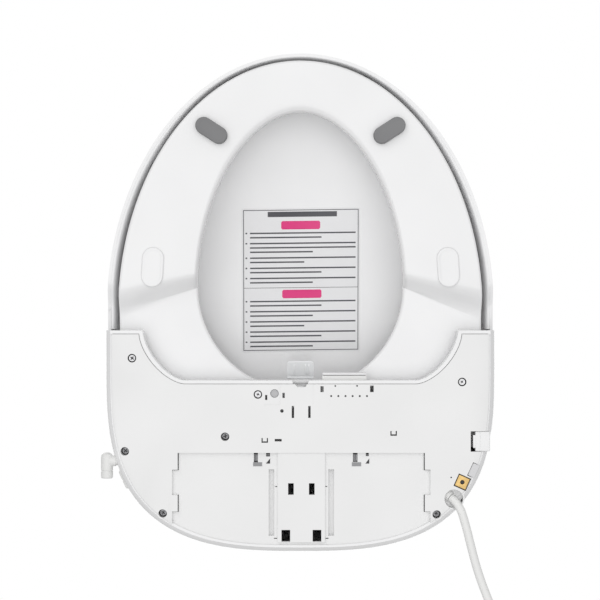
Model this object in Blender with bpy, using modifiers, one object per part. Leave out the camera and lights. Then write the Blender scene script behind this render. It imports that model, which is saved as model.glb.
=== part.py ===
"""Electric bidet seat: a housing with water, air and drive parts, a heated seat ring and a lid.

Frame: +Z up, front of the seat towards -Y, origin on the resting plane under the middle of the plan.
All sizes are metres; MM turns millimetres into metres.
"""

import math

import bmesh
import bpy
from mathutils import Matrix, Vector

MM = 0.001
GAP = 0.3 * MM            # air between touching pieces
EPS = 1.0 * MM            # how far a cutter runs past the face that it opens

# ---- driving sizes: plan -------------------------------------------------
HALF_WIDTH = 195.5 * MM   # housing and lid, from the centre plane to the side
LID_FRONT = 259 * MM      # from the widest line of the lid to its front edge
LID_MIDDLE_Y = 8 * MM     # widest line of the lid
RING_HALF_WIDTH = 183.5 * MM
RING_FRONT = 253 * MM
RING_MIDDLE_Y = 10 * MM
RING_REAR_Y = 104 * MM
BOWL_HALF_WIDTH = 104 * MM
BOWL_FRONT = 177 * MM
BOWL_REAR = 104.5 * MM
BOWL_MIDDLE_Y = -15 * MM
WING_FRONT_Y = 28.5 * MM  # front edge of the housing's two side wings
WING_CORNER_X = 116 * MM  # where the hollow between wing and middle ends
WING_HOLLOW = 42.1 * MM   # width of that hollow
WING_DEPTH = 50 * MM      # from the wing's front edge back to the middle's front edge
REAR_MIDDLE_Y = 68 * MM
REAR_LENGTH = 183 * MM
REAR_POWER = 2.9          # 2 is an ellipse, larger is squarer

# ---- driving sizes: heights ----------------------------------------------
DECK_Z = 24 * MM
HUMP_Z = 118 * MM
RING_BOTTOM_Z = 8 * MM
RING_TOP_Z = 46 * MM
DECK_TO_RING = 3.5 * MM
LID_RIM_Z = 18 * MM
LID_FRONT_SHOULDER_Z = 38 * MM
HINGE_Y = 122 * MM
HINGE_Z = 66 * MM
LID_ROUND = 20 * MM       # radius of the lid's edge, and of its back about the hinge
LID_CROWN = 7 * MM
LID_WALL = 3 * MM
HUMP_LEAN = math.radians(19)

# ---- walls, seams and the base -------------------------------------------
WALL = 2.5 * MM
LIP = 3.2 * MM            # front wall of the upper housing, which shows beside the base
SEAM = 0.4 * MM
BASE_T = 3 * MM
BASE_SIDE_INSET = 6.8 * MM
RECESS_DEPTH = 5 * MM
PAN_STEP = 7.3 * MM       # from the upper housing's inner face to the pan's wall
PAN_FLOOR_STEP = 4.3 * MM  # and to the edge of the pan's floor
RECESS_Y = 150.9 * MM
RECESS_LEFT_X = -128.4 * MM
RECESS_RIGHT_X = 130.1 * MM
TRACK_LEFT_X = -22.7 * MM
TRACK_RIGHT_X = 24.6 * MM
TRACK_T = 3 * MM

# ---- hinge ----------------------------------------------------------------
PIN_R = 5 * MM
PIN_CLEAR = 0.35 * MM
LUG_R = 11 * MM
ARM_R = 10 * MM
LUG_X = 46 * MM
LUG_W = 14 * MM
ARM_W = 22 * MM
LID_LUG_W = 12 * MM
SIDE_GAP = 2 * MM
ARM_X = LUG_X + LUG_W + SIDE_GAP
LID_LUG_X = ARM_X + ARM_W + SIDE_GAP

# ---- wash nozzle ----------------------------------------------------------
NOZZLE_R = 5.5 * MM
NOZZLE_L = 160 * MM
NOZZLE_STROKE = 80 * MM
NOZZLE_TIP_Y = 86 * MM
NOZZLE_TIP_Z = 11 * MM
NOZZLE_SLOPE = math.radians(20)
HOOD_HALF_W = 15.5 * MM
HOOD_CLEAR = 1.4 * MM
HOOD_WALL = 1.7 * MM
RACK_W = 4.5 * MM
TOOTH_MODULE = 1.0 * MM
PINION_TEETH = 12
PINION_Y = 161 * MM

# ---- dryer ----------------------------------------------------------------
DUCT_X0 = 22 * MM
DUCT_X1 = 66.5 * MM
DUCT_Z0 = 8.2 * MM
DUCT_Z1 = DECK_Z - WALL - SEAM
DUCT_WALL = 1.5 * MM
DUCT_Y0 = 74 * MM
DUCT_Y1 = 151.6 * MM
FAN_X = 68 * MM
FAN_Y = 196 * MM
FAN_R = 26 * MM
BLOWER_R = 32 * MM
BLOWER_WALL = 2 * MM
BLOWER_Z0 = 12.8 * MM
BLOWER_Z1 = 40 * MM

# ---- supply cord ----------------------------------------------------------
CORD_D = 8.5 * MM
COIL_X = 150 * MM
COIL_Y = 374 * MM
COIL_R = 46 * MM          # middle of the turns


# ===========================================================================
# Scene, materials and shape helpers
# ===========================================================================
for old in list(bpy.data.objects):
    bpy.data.objects.remove(old, do_unlink=True)

PARTS = bpy.data.collections.new("electric_bidet_seat")
CUTTERS = bpy.data.collections.new("cutters")
for collection in (PARTS, CUTTERS):
    bpy.context.scene.collection.children.link(collection)


def finish_of(name, color, roughness, metallic=0.0):
    """One Principled material."""
    mat = bpy.data.materials.new(name)
    mat.use_nodes = True
    shader = mat.node_tree.nodes["Principled BSDF"]
    shader.inputs["Base Color"].default_value = (*color, 1.0)
    shader.inputs["Roughness"].default_value = roughness
    shader.inputs["Metallic"].default_value = metallic
    return mat


WHITE = finish_of("gloss_white_plastic", (0.86, 0.86, 0.86), 0.22)
SATIN = finish_of("satin_white_plastic", (0.80, 0.80, 0.81), 0.45)
GREY_RUBBER = finish_of("grey_rubber", (0.22, 0.22, 0.22), 0.7)
CLEAR = finish_of("frosted_clear_plastic", (0.62, 0.63, 0.64), 0.35)
BLACK = finish_of("black_plastic", (0.03, 0.03, 0.03), 0.5)
STEEL = finish_of("zinc_steel", (0.55, 0.55, 0.56), 0.35, 1.0)
BRASS = finish_of("brass", (0.75, 0.52, 0.16), 0.3, 1.0)
COPPER = finish_of("heater_foil", (0.70, 0.42, 0.28), 0.4, 1.0)
BOARD = finish_of("circuit_board", (0.05, 0.25, 0.10), 0.5)
CORD_SKIN = finish_of("white_cord_jacket", (0.78, 0.78, 0.76), 0.5)


def add(name, mesh, mat, smooth=None):
    """Puts a mesh in the scene as a named part."""
    obj = bpy.data.objects.new(name, mesh)
    PARTS.objects.link(obj)
    mesh.materials.clear()
    mesh.materials.append(mat)
    if smooth is not None:
        mesh.shade_smooth()
        mesh.set_sharp_from_angle(angle=math.radians(smooth))
    return obj


def mesh_from(bm, name):
    """Ends a bmesh: normals out, and into a mesh."""
    bmesh.ops.recalc_face_normals(bm, faces=bm.faces)
    mesh = bpy.data.meshes.new(name)
    bm.to_mesh(mesh)
    bm.free()
    return mesh


def box_bm(low, high, turn=None):
    """A box between two corners, as a bmesh; turn is an optional matrix about its own centre."""
    low, high = Vector(low), Vector(high)
    size, middle = high - low, (low + high) / 2
    bm = bmesh.new()
    bmesh.ops.create_cube(bm, size=1.0)
    bmesh.ops.scale(bm, vec=size, verts=bm.verts)
    if turn is not None:
        bmesh.ops.transform(bm, matrix=turn, verts=bm.verts)
    bmesh.ops.translate(bm, vec=middle, verts=bm.verts)
    return bm


def box(name, low, high, mat, bevel=0.0, turn=None):
    """A box part, its edges rounded where bevel is given."""
    obj = add(name, mesh_from(box_bm(low, high, turn), name), mat)
    if bevel:
        round_edges(obj, bevel)
    return obj


def round_edges(obj, width, segments=2, angle=40):
    """Rounds a part's sharp edges."""
    mod = obj.modifiers.new("rounding", "BEVEL")
    mod.width = width
    mod.segments = segments
    mod.limit_method = "ANGLE"
    mod.angle_limit = math.radians(angle)


def rod_bm(start, end, r_start, r_end=None, sides=20):
    """A round rod or cone between two points, as a bmesh."""
    start, end = Vector(start), Vector(end)
    along = end - start
    bm = bmesh.new()
    bmesh.ops.create_cone(bm, cap_ends=True, segments=sides, radius1=r_start,
                          radius2=r_start if r_end is None else r_end, depth=along.length)
    turn = along.to_track_quat("Z", "Y").to_matrix().to_4x4()
    bmesh.ops.transform(bm, matrix=Matrix.Translation((start + end) / 2) @ turn, verts=bm.verts)
    return bm


def rod(name, start, end, r_start, mat, r_end=None, sides=20):
    """A round part between two points."""
    return add(name, mesh_from(rod_bm(start, end, r_start, r_end, sides), name), mat, 40)


def merge(pieces):
    """Several bmeshes in one; they stay separate bodies."""
    whole = bmesh.new()
    for piece in pieces:
        scratch = bpy.data.meshes.new("scratch")
        bmesh.ops.recalc_face_normals(piece, faces=piece.faces)
        piece.to_mesh(scratch)
        piece.free()
        whole.from_mesh(scratch)
        bpy.data.meshes.remove(scratch)
    return whole


def tool(name, pieces):
    """A cutter or a joiner: a hidden wire object of one or more bodies."""
    mesh = bpy.data.meshes.new(name)
    whole = merge(pieces)
    whole.to_mesh(mesh)
    whole.free()
    obj = bpy.data.objects.new(name, mesh)
    CUTTERS.objects.link(obj)
    obj.hide_render = True
    obj.display_type = "WIRE"
    return obj


def boolean(obj, other, operation):
    """Joins another solid to a part, or cuts it away."""
    mod = obj.modifiers.new(other.name, "BOOLEAN")
    mod.operation = operation
    mod.object = other
    mod.solver = "EXACT"


def join(obj, name, *pieces):
    """Joins bodies to a part, one at a time so that they may overlap each other."""
    for number, piece in enumerate(pieces):
        boolean(obj, tool(f"{name}_{number}", [piece]), "UNION")


def cut(obj, name, *pieces):
    """Cuts bodies that don't overlap each other out of a part."""
    boolean(obj, tool(name, pieces), "DIFFERENCE")


def loft_bm(loops, capped=True):
    """A skin through closed loops of equal length; flat caps close the first and the last."""
    bm = bmesh.new()
    rows = [[bm.verts.new(point) for point in loop] for loop in loops]
    count = len(rows[0])
    for low, high in zip(rows, rows[1:]):
        for i in range(count):
            j = (i + 1) % count
            bm.faces.new((low[i], low[j], high[j], high[i]))
    if capped:
        bm.faces.new(list(reversed(rows[0])))
        bm.faces.new(rows[-1])
    return bm


def plate_bm(outline, z0, z1):
    """A flat plate of a closed plan outline."""
    return loft_bm([[(x, y, z0) for x, y in outline], [(x, y, z1) for x, y in outline]])


def side_plate_bm(outline, x0, x1):
    """A flat plate of a closed outline in the YZ plane, between two X places."""
    return loft_bm([[(x0, y, z) for y, z in outline], [(x1, y, z) for y, z in outline]])


def hoop_bm(sections):
    """A closed hoop: each section is a loop of the solid's wall, and the last meets the first."""
    bm = bmesh.new()
    rows = [[bm.verts.new(point) for point in section] for section in sections]
    rows.append(rows[0])
    count = len(rows[0])
    for here, there in zip(rows, rows[1:]):
        for i in range(count):
            j = (i + 1) % count
            bm.faces.new((here[i], here[j], there[j], there[i]))
    return bm


def turned_bm(profile, centre, sides=32):
    """A solid turned about a vertical axis from a closed (radius, z) profile clear of the axis."""
    sections = []
    for i in range(sides):
        a = 2 * math.pi * i / sides
        sections.append([(centre[0] + r * math.cos(a), centre[1] + r * math.sin(a), z)
                         for r, z in profile])
    return hoop_bm(sections)


def superellipse(a, b, power, angle):
    """A point on a superellipse with semi-axes a along X and b along Y."""
    c, s = math.cos(angle), math.sin(angle)
    x = math.copysign(abs(c) ** (2 / power), c) * a
    y = math.copysign(abs(s) ** (2 / power), s) * b
    return x, y


def ease(value, start, end):
    """0 before start, 1 after end, smooth between."""
    t = min(1.0, max(0.0, (value - start) / (end - start)))
    return t * t * (3 - 2 * t)


def tube_bm(route, radius, sides=8):
    """A round tube through a list of points, with flat ends."""
    data = bpy.data.curves.new("tube", "CURVE")
    data.dimensions = "3D"
    data.bevel_depth = radius
    data.bevel_resolution = sides // 4
    data.use_fill_caps = True
    data.render_resolution_u = 0
    spline = data.splines.new("POLY")
    spline.points.add(len(route) - 1)
    for point, place in zip(spline.points, route):
        point.co = (*place, 1.0)
    obj = bpy.data.objects.new("tube", data)
    bpy.context.scene.collection.objects.link(obj)
    bpy.context.view_layer.update()
    shape = obj.evaluated_get(bpy.context.evaluated_depsgraph_get())
    mesh = bpy.data.meshes.new_from_object(shape)
    bm = bmesh.new()
    bm.from_mesh(mesh)
    bmesh.ops.remove_doubles(bm, verts=bm.verts, dist=1e-6)
    bpy.data.objects.remove(obj, do_unlink=True)
    bpy.data.meshes.remove(mesh)
    return bm


def smooth_route(points, step):
    """Points every step along a smooth curve through the given points."""
    places = [Vector(p) for p in points]
    places = [2 * places[0] - places[1]] + places + [2 * places[-1] - places[-2]]
    route = []
    for p0, p1, p2, p3 in zip(places, places[1:], places[2:], places[3:]):
        pieces = max(1, round((p2 - p1).length / step))
        for i in range(pieces):
            t = i / pieces
            route.append(0.5 * (2 * p1 + (p2 - p0) * t + (2 * p0 - 5 * p1 + 4 * p2 - p3) * t ** 2
                                + (3 * p1 - p0 - 3 * p2 + p3) * t ** 3))
    route.append(places[-2])
    return route


# ===========================================================================
# Plan outlines
# ===========================================================================
def wing_outline(side_inset, front_inset, steps=9, rear_steps=30):
    """The housing's plan, counter-clockwise: wings, the hollow between them, sides and rear."""
    half = HALF_WIDTH - side_inset
    front = WING_FRONT_Y + front_inset
    hollow = WING_HOLLOW + front_inset
    points = []
    for i in range(rear_steps + 1):
        x, y = superellipse(half, REAR_LENGTH - side_inset, REAR_POWER, math.pi * i / rear_steps)
        points.append((x, REAR_MIDDLE_Y + y))
    points.append((-half, front))
    left = []
    for i in range(steps + 1):
        x, y = superellipse(hollow, WING_DEPTH, 1.6, math.pi / 2 * i / steps)
        left.append((-WING_CORNER_X - x, front + y))
    points += left
    points += [(-x, y) for x, y in reversed(left)]
    points.append((half, front))
    return points


def rear_half_width(y, inset):
    """Half the housing's width at a place along Y behind its widest line."""
    share = min(1.0, abs(y - REAR_MIDDLE_Y) / (REAR_LENGTH - inset))
    return (HALF_WIDTH - inset) * (1 - share ** REAR_POWER) ** (1 / REAR_POWER)


def hump_outline(front_y, inset, corner, steps=24):
    """The raised rear of the housing: a straight front edge and the housing's own rear."""
    length = REAR_LENGTH - inset
    start = math.asin(min(0.999, ((front_y + corner - REAR_MIDDLE_Y) / length) ** (REAR_POWER / 2)))
    points = []
    for i in range(steps + 1):
        angle = start + (math.pi - 2 * start) * i / steps
        x, y = superellipse(HALF_WIDTH - inset, length, REAR_POWER, angle)
        points.append((x, REAR_MIDDLE_Y + y))
    half = points[0][0]
    left = []
    for degrees in (30, 60, 90):
        a = math.radians(degrees)
        left.append((-half + corner * (1 - math.cos(a)), front_y + corner * (1 - math.sin(a))))
    points += left
    points += [(-x, y) for x, y in reversed(left)]
    return points


def lid_outline(inset, angle):
    """The lid's plan at an angle: 0 right, 90 degrees rear, 270 degrees front."""
    if math.sin(angle) < 0:
        x, y = superellipse(HALF_WIDTH - inset, LID_FRONT - inset, 2, angle)
    else:
        rear = HINGE_Y + LID_ROUND - LID_MIDDLE_Y
        x, y = superellipse(HALF_WIDTH - inset, rear - inset, 8, angle)
    return x, LID_MIDDLE_Y + y


def ring_outline(angle):
    """The seat ring's outer edge in plan."""
    if math.sin(angle) < 0:
        x, y = superellipse(RING_HALF_WIDTH, RING_FRONT, 2, angle)
    else:
        x, y = superellipse(RING_HALF_WIDTH, RING_REAR_Y - RING_MIDDLE_Y, 5, angle)
    return Vector((x, RING_MIDDLE_Y + y))


def bowl_outline(angle):
    """The opening of the seat ring in plan."""
    if math.sin(angle) < 0:
        x, y = superellipse(BOWL_HALF_WIDTH, BOWL_FRONT, 1.9, angle)
    else:
        x, y = superellipse(BOWL_HALF_WIDTH, BOWL_REAR, 2, angle)
    return Vector((x, BOWL_MIDDLE_Y + y))


def even_angles(outline, count, fine=1440):
    """Angles at which points are evenly spaced along a plan outline."""
    angles = [2 * math.pi * i / fine for i in range(fine + 1)]
    places = [Vector(outline(angle)) for angle in angles]
    run = [0.0]
    for here, there in zip(places, places[1:]):
        run.append(run[-1] + (there - here).length)
    chosen = []
    at = 0
    for i in range(count):
        goal = run[-1] * i / count
        while run[at] < goal:
            at += 1
        chosen.append(angles[at])
    return chosen


# ===========================================================================
# Lid
# ===========================================================================
def lid_shoulder_z(y):
    """Height at which the lid's rounded edge begins."""
    front = LID_MIDDLE_Y - LID_FRONT
    share = min(1.0, max(0.0, (y - front) / (HINGE_Y - front)))
    return LID_FRONT_SHOULDER_Z + (HINGE_Z - LID_FRONT_SHOULDER_Z) * share


def lid_rim_z(y):
    """Height of the lid's lower rim: it steps up over the housing's wings."""
    over_wings = DECK_Z + DECK_TO_RING + 3 * MM
    return LID_RIM_Z + (over_wings - LID_RIM_Z) * ease(y, WING_FRONT_Y - 50 * MM, WING_FRONT_Y - 22 * MM)


def lid_loops(count=52):
    """The lid's outer skin from the rim up over the rounded edge to the crown."""
    loops = []
    stations = even_angles(lambda angle: lid_outline(0, angle), count)
    levels = ((0, 0), (0.5, 0), (1, 0), (1, 22.5), (1, 45), (1, 67.5), (1, 90))
    back_open = 15
    for step, (wall, degrees) in enumerate(levels):
        loop = []
        for angle in stations:
            y_edge = lid_outline(0, angle)[1]
            back = ease(y_edge, HINGE_Y - 22 * MM, HINGE_Y + 13 * MM)
            rear_degrees = back_open + (90 - back_open) * step / (len(levels) - 1)
            phi = math.radians(degrees * (1 - back) + rear_degrees * back)
            x, y = lid_outline(LID_ROUND * (1 - math.cos(phi)), angle)
            shoulder = lid_shoulder_z(y_edge)
            drop = (shoulder - lid_rim_z(y_edge)) * (1 - wall) * (1 - back)
            loop.append((x, y, shoulder - drop + LID_ROUND * math.sin(phi)))
        loops.append(loop)
    for share in (0.8, 0.55, 0.28, 0.06):
        loop = []
        for angle in stations:
            x, y = lid_outline(LID_ROUND, angle)
            x, y = x * share, LID_MIDDLE_Y + (y - LID_MIDDLE_Y) * share
            loop.append((x, y, lid_shoulder_z(y) + LID_ROUND + LID_CROWN * (1 - share ** 2)))
        loops.append(loop)
    return loops


def make_lid():
    """The domed lid: a thin shell with two hinge lugs under its back."""
    bm = loft_bm(lid_loops(), capped=False)
    bm.verts.ensure_lookup_table()
    count = len(lid_loops()[0])
    bm.faces.new(bm.verts[-count:])
    bmesh.ops.recalc_face_normals(bm, faces=bm.faces)
    bm.faces.ensure_lookup_table()
    crown = max(bm.faces, key=lambda f: f.calc_center_median().z)
    if crown.normal.z < 0:
        bmesh.ops.reverse_faces(bm, faces=bm.faces)
    mesh = bpy.data.meshes.new("lid_shell")
    bm.to_mesh(mesh)
    bm.free()
    lid = add("lid_shell", mesh, WHITE, 40)
    wall = lid.modifiers.new("wall", "SOLIDIFY")
    wall.thickness = LID_WALL
    wall.offset = -1
    wall.use_even_offset = True
    reach = LID_ROUND - LID_WALL / 2
    for side in (1, -1):
        x0 = side * LID_LUG_X
        x1 = side * (LID_LUG_X + LID_LUG_W)
        eye = rod_bm((x0, HINGE_Y, HINGE_Z), (x1, HINGE_Y, HINGE_Z), ARM_R, sides=24)
        web = box_bm((min(x0, x1), HINGE_Y - 7 * MM, HINGE_Z),
                     (max(x0, x1), HINGE_Y + 6 * MM, HINGE_Z + reach * 0.95))
        join(lid, f"lid_lug_{'r' if side > 0 else 'l'}", web, eye)
    cut(lid, "lid_pin_holes", *[
        rod_bm((side * (LID_LUG_X - EPS), HINGE_Y, HINGE_Z),
               (side * (LID_LUG_X + LID_LUG_W + EPS), HINGE_Y, HINGE_Z), PIN_R + PIN_CLEAR, sides=24)
        for side in (1, -1)])
    return lid


# ===========================================================================
# Seat ring
# ===========================================================================
def ring_bottom_z(y):
    """Underside of the ring: low over the bowl, stepping up over the housing's wings."""
    rear = DECK_Z + DECK_TO_RING
    return RING_BOTTOM_Z + (rear - RING_BOTTOM_Z) * ease(y, WING_FRONT_Y - 42 * MM, WING_FRONT_Y - 13 * MM)


def ring_section(angle, shape):
    """One section through the ring: shape is a list of (edge, distance, height share, lift)."""
    outer, inner = ring_outline(angle), bowl_outline(angle)
    across = (outer - inner)
    width = across.length
    across = across / width
    low = ring_bottom_z(outer.y)
    tall = RING_TOP_Z - low
    squeeze = min(1.0, (width - 2 * SHELL) / (60 * MM))
    loop = []
    for edge, distance, share, lift in shape:
        if edge != "mid" and distance > SHELL:
            distance = SHELL + (distance - SHELL) * squeeze
        place = inner + across * distance if edge == "in" else outer - across * distance
        if edge == "mid":
            place = inner + across * (width * distance)
        loop.append((place.x, place.y, low + tall * share + lift))
    return loop


def ring_bm(shape_at, count=52):
    """A hoop of ring sections; shape_at gives the section's shape at an angle."""
    return hoop_bm([ring_section(a, shape_at(a)) for a in even_angles(ring_outline, count)])


def bowl_slope(angle):
    """Width of the sloped band beside the opening: widest at the front."""
    front = max(0.0, -math.sin(angle))
    return (4 + 9.5 * front ** 3) * MM


SPLIT = 0.42              # height share at which the two halves of the ring meet
SHELL = 2.4 * MM


def ring_tray(angle):
    """Lower half of the ring: a tray with its floor underneath."""
    band = bowl_slope(angle)
    return [("in", 0, SPLIT, 0), ("in", 0, 0.20, 0), ("in", band, 0, 0), ("out", 6 * MM, 0, 0),
            ("out", 1.6 * MM, 0.07, 0), ("out", 0, 0.2, 0), ("out", 0, SPLIT, 0),
            ("out", SHELL, SPLIT, 0), ("out", SHELL, 0.2, 0), ("out", 6 * MM, 0, SHELL),
            ("in", band, 0, SHELL), ("in", SHELL, 0.20, SHELL / 2), ("in", SHELL, SPLIT, 0)]


def ring_cover(_angle):
    """Upper half of the ring: the surface that is sat on."""
    return [("out", 0, SPLIT, GAP), ("out", 0, 0.72, 0), ("out", 2.5 * MM, 0.9, 0),
            ("out", 9 * MM, 1, 0), ("mid", 0.55, 0.93, 0), ("in", 12 * MM, 0.84, 0),
            ("in", 3.5 * MM, 0.74, 0), ("in", 0, 0.62, 0), ("in", 0, SPLIT, GAP),
            ("in", SHELL, SPLIT, GAP), ("in", SHELL, 0.58, 0), ("in", 4.8 * MM, 0.74, -SHELL),
            ("in", 12 * MM, 0.84, -SHELL), ("mid", 0.55, 0.93, -SHELL), ("out", 9 * MM, 1, -SHELL),
            ("out", 4.4 * MM, 0.82, 0), ("out", SHELL, 0.70, 0), ("out", SHELL, SPLIT, GAP)]


def ring_foil(_angle):
    """Heater foil under the upper half."""
    lift = -SHELL - 0.5 * MM
    return [("mid", 0.25, 0.84, lift), ("mid", 0.75, 0.90, lift),
            ("mid", 0.75, 0.90, lift - 0.6 * MM), ("mid", 0.25, 0.84, lift - 0.6 * MM)]


def arm_outline():
    """Side view of a hinge arm: from the ring's rear up and back round the pin."""
    low = RING_TOP_Z - 2.1 * MM
    points = [(RING_REAR_Y - 10 * MM, low), (RING_REAR_Y - 2.8 * MM, low)]
    for i in range(13):
        a = math.radians(-50 + 220 * i / 12)
        points.append((HINGE_Y + ARM_R * math.cos(a), HINGE_Z + ARM_R * math.sin(a)))
    return points


def make_seat():
    """The seat ring: lower tray, upper cover with two hinge arms, heater foil and bumpers."""
    add("seat_bottom_shell", mesh_from(ring_bm(ring_tray), "seat_bottom_shell"), WHITE, 40)
    cover = add("seat_top_shell", mesh_from(ring_bm(ring_cover), "seat_top_shell"), WHITE, 40)
    for side in (1, -1):
        arm = side_plate_bm(arm_outline(), side * ARM_X, side * (ARM_X + ARM_W))
        join(cover, f"seat_arm_{'r' if side > 0 else 'l'}", arm)
    cut(cover, "arm_pin_holes", *[
        rod_bm((side * (ARM_X - EPS), HINGE_Y, HINGE_Z),
               (side * (ARM_X + ARM_W + EPS), HINGE_Y, HINGE_Z), PIN_R + PIN_CLEAR, sides=24)
        for side in (1, -1)])
    add("seat_heater_foil", mesh_from(ring_bm(ring_foil), "seat_heater_foil"), COPPER)


def capsule_outline(centre, length, width, turn, steps=8):
    """A capsule in plan, turned about its centre."""
    half = (length - width) / 2
    r = width / 2
    points = []
    for end in (1, -1):
        for i in range(steps + 1):
            a = math.pi * i / steps - math.pi / 2
            x, y = end * (half + r * math.cos(a)), end * r * math.sin(a)
            points.append((centre[0] + x * math.cos(turn) - y * math.sin(turn),
                           centre[1] + x * math.sin(turn) + y * math.cos(turn)))
    return points


BUMPER_L, BUMPER_W = 35 * MM, 17 * MM
BUMPER_X, BUMPER_Y = 89.3 * MM, -172 * MM
BUMPER_TURN = math.radians(33)
PAD_L, PAD_W = 40 * MM, 22 * MM
PAD_X, PAD_Y, PAD_T = 148.5 * MM, -35 * MM, 2.2 * MM


def make_bumpers():
    """Two grey bumpers at the front and two white pads at the sides, under the ring."""
    for side, name in ((-1, "left"), (1, "right")):
        outline = capsule_outline((side * BUMPER_X, BUMPER_Y), BUMPER_L, BUMPER_W, -side * BUMPER_TURN)
        bumper = add(f"seat_bumper_{name}",
                     mesh_from(plate_bm(outline, 0, RING_BOTTOM_Z - GAP), "bumper"), GREY_RUBBER)
        round_edges(bumper, 1.2 * MM)
        outline = capsule_outline((side * PAD_X, PAD_Y), PAD_L, PAD_W, math.pi / 2 - side * 0.06)
        add(f"seat_pad_{name}",
            mesh_from(plate_bm(outline, RING_BOTTOM_Z - PAD_T, RING_BOTTOM_Z - GAP), "pad"), WHITE)
        x, y = side * 60 * MM, LID_MIDDLE_Y - 225 * MM
        rod(f"lid_buffer_{name}", (x, y, RING_TOP_Z + GAP), (x, y, LID_FRONT_SHOULDER_Z + LID_ROUND - 5.5 * MM),
            5 * MM, GREY_RUBBER, r_end=6 * MM, sides=14)


# ===========================================================================
# Housing
# ===========================================================================
NOZZLE_DIR = Vector((0, -math.cos(NOZZLE_SLOPE), -math.sin(NOZZLE_SLOPE)))
NOZZLE_UP = Vector((0, -math.sin(NOZZLE_SLOPE), math.cos(NOZZLE_SLOPE)))
NOZZLE_TIP = Vector((0, NOZZLE_TIP_Y, NOZZLE_TIP_Z))


def along_nozzle(back, up=0.0, x=0.0):
    """A point given by its distance behind the nozzle's tip and above its axis."""
    return NOZZLE_TIP - NOZZLE_DIR * back + NOZZLE_UP * up + Vector((x, 0, 0))


def nozzle_bar_bm(back0, back1, up0, up1, x0, x1):
    """A bar square to the nozzle: between two distances behind the tip, two heights and two X."""
    loops = []
    for x in (x0, x1):
        loops.append([tuple(along_nozzle(b, u, x))
                      for b, u in ((back0, up0), (back1, up0), (back1, up1), (back0, up1))])
    return loft_bm(loops)


def flare_inset(z):
    """How far the housing's side stands inside its widest plan at a height: it flares out upwards."""
    levels = ((BASE_T, 5.2 * MM), (5.6 * MM, 3.2 * MM), (9.2 * MM, 1.0 * MM), (14 * MM, 0.0))
    if z <= levels[0][0]:
        return levels[0][1]
    for (z0, inset0), (z1, inset1) in zip(levels, levels[1:]):
        if z <= z1:
            return inset0 + (inset1 - inset0) * (z - z0) / (z1 - z0)
    return 0.0


def low_body_outer():
    """Outside of the upper housing's low body."""
    edge = 1.8 * MM
    loops = []
    for z in (GAP, BASE_T + GAP, 5.6 * MM, 9.2 * MM, 14 * MM, DECK_Z - edge):
        loops.append([(x, y, z) for x, y in wing_outline(flare_inset(z), 0)])
    loops.append([(x, y, DECK_Z) for x, y in wing_outline(edge, edge)])
    return loops


def low_body_inner():
    """Hollow of the upper housing's low body, open at the bottom."""
    loops = []
    for z in (-EPS, BASE_T + GAP, 5.6 * MM, 9.2 * MM, 14 * MM, DECK_Z - WALL):
        loops.append([(x, y, z) for x, y in wing_outline(flare_inset(z) + WALL, LIP)])
    return loops


def hump_loops(wall, z_low, z_high):
    """Loops of the raised rear, drafted inwards and rounded at the top."""
    levels = ((0.0, 0.4, 0.0), (0.35, 1.5, 0.0), (0.72, 4.5, 0.0), (0.88, 8, 1.0),
              (0.965, 13, 4.0), (1.0, 21, 10.0))
    loops = []
    for share, inset, ease_in in levels:
        z = z_low + (z_high - z_low) * share
        lean = max(0.0, z - HINGE_Z) * math.tan(HUMP_LEAN)
        front = HINGE_Y + LID_ROUND + 2 * MM + lean + wall + ease_in * MM
        outline = hump_outline(front, inset * MM + wall, max(2 * MM, 12 * MM - wall))
        loops.append([(x, y, z) for x, y in outline])
    return loops


def lug_outline():
    """Side view of a hinge lug: its neck stands ahead of the pin, clear of the open lid's back."""
    neck_y = HINGE_Y - 3 * MM
    points = [(HINGE_Y - 13 * MM, DECK_Z - 2 * MM), (neck_y, DECK_Z - 2 * MM), (neck_y, HINGE_Z - 14 * MM)]
    for i in range(17):
        a = math.radians(-60 + 240 * i / 16)
        points.append((HINGE_Y + LUG_R * math.cos(a), HINGE_Z + LUG_R * math.sin(a)))
    return points


CORD_EXIT = Vector((151.0, 196.2, 9.6)) * MM
CORD_DIR = Vector((0.70, 0.58, -0.42)).normalized()
GLAND_L = 26 * MM
POCKET_R = 9.5 * MM
POCKET_X, POCKET_Y = 153.6 * MM, 197 * MM
CHANNEL_HALF = 5.4 * MM
CHANNEL_DIR = Vector((0.50, 0.866, 0.0)).normalized()


def channel_bm(z0, z1):
    """The open channel that lets the cord out of its pocket through the housing's edge."""
    start = Vector((POCKET_X, POCKET_Y, 0)) + Vector((0.5 * MM, 1 * MM, 0))
    across = Vector((-CHANNEL_DIR.y, CHANNEL_DIR.x, 0)) * CHANNEL_HALF
    end = start + CHANNEL_DIR * 40 * MM
    corners = [start + across, start - across, end - across, end + across]
    return plate_bm([(p.x, p.y) for p in corners], z0, z1)


INLET_X, INLET_Y, INLET_Z = -194.9 * MM, 164.5 * MM, 14 * MM
INLET_R = 6.0 * MM
STUB_R = 4.6 * MM
BUTTON_Y0, BUTTON_Y1 = 129.6 * MM, 149.4 * MM
BUTTON_Z1 = 19 * MM
BUTTON_X = 175 * MM
BUTTON_STROKE = 2.2 * MM
POWER_X, POWER_Y, POWER_R = 120 * MM, 190 * MM, 7 * MM
NOTCH_HALF_W = 7.5 * MM   # notch in the front lip, under the sliding nozzle


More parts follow.
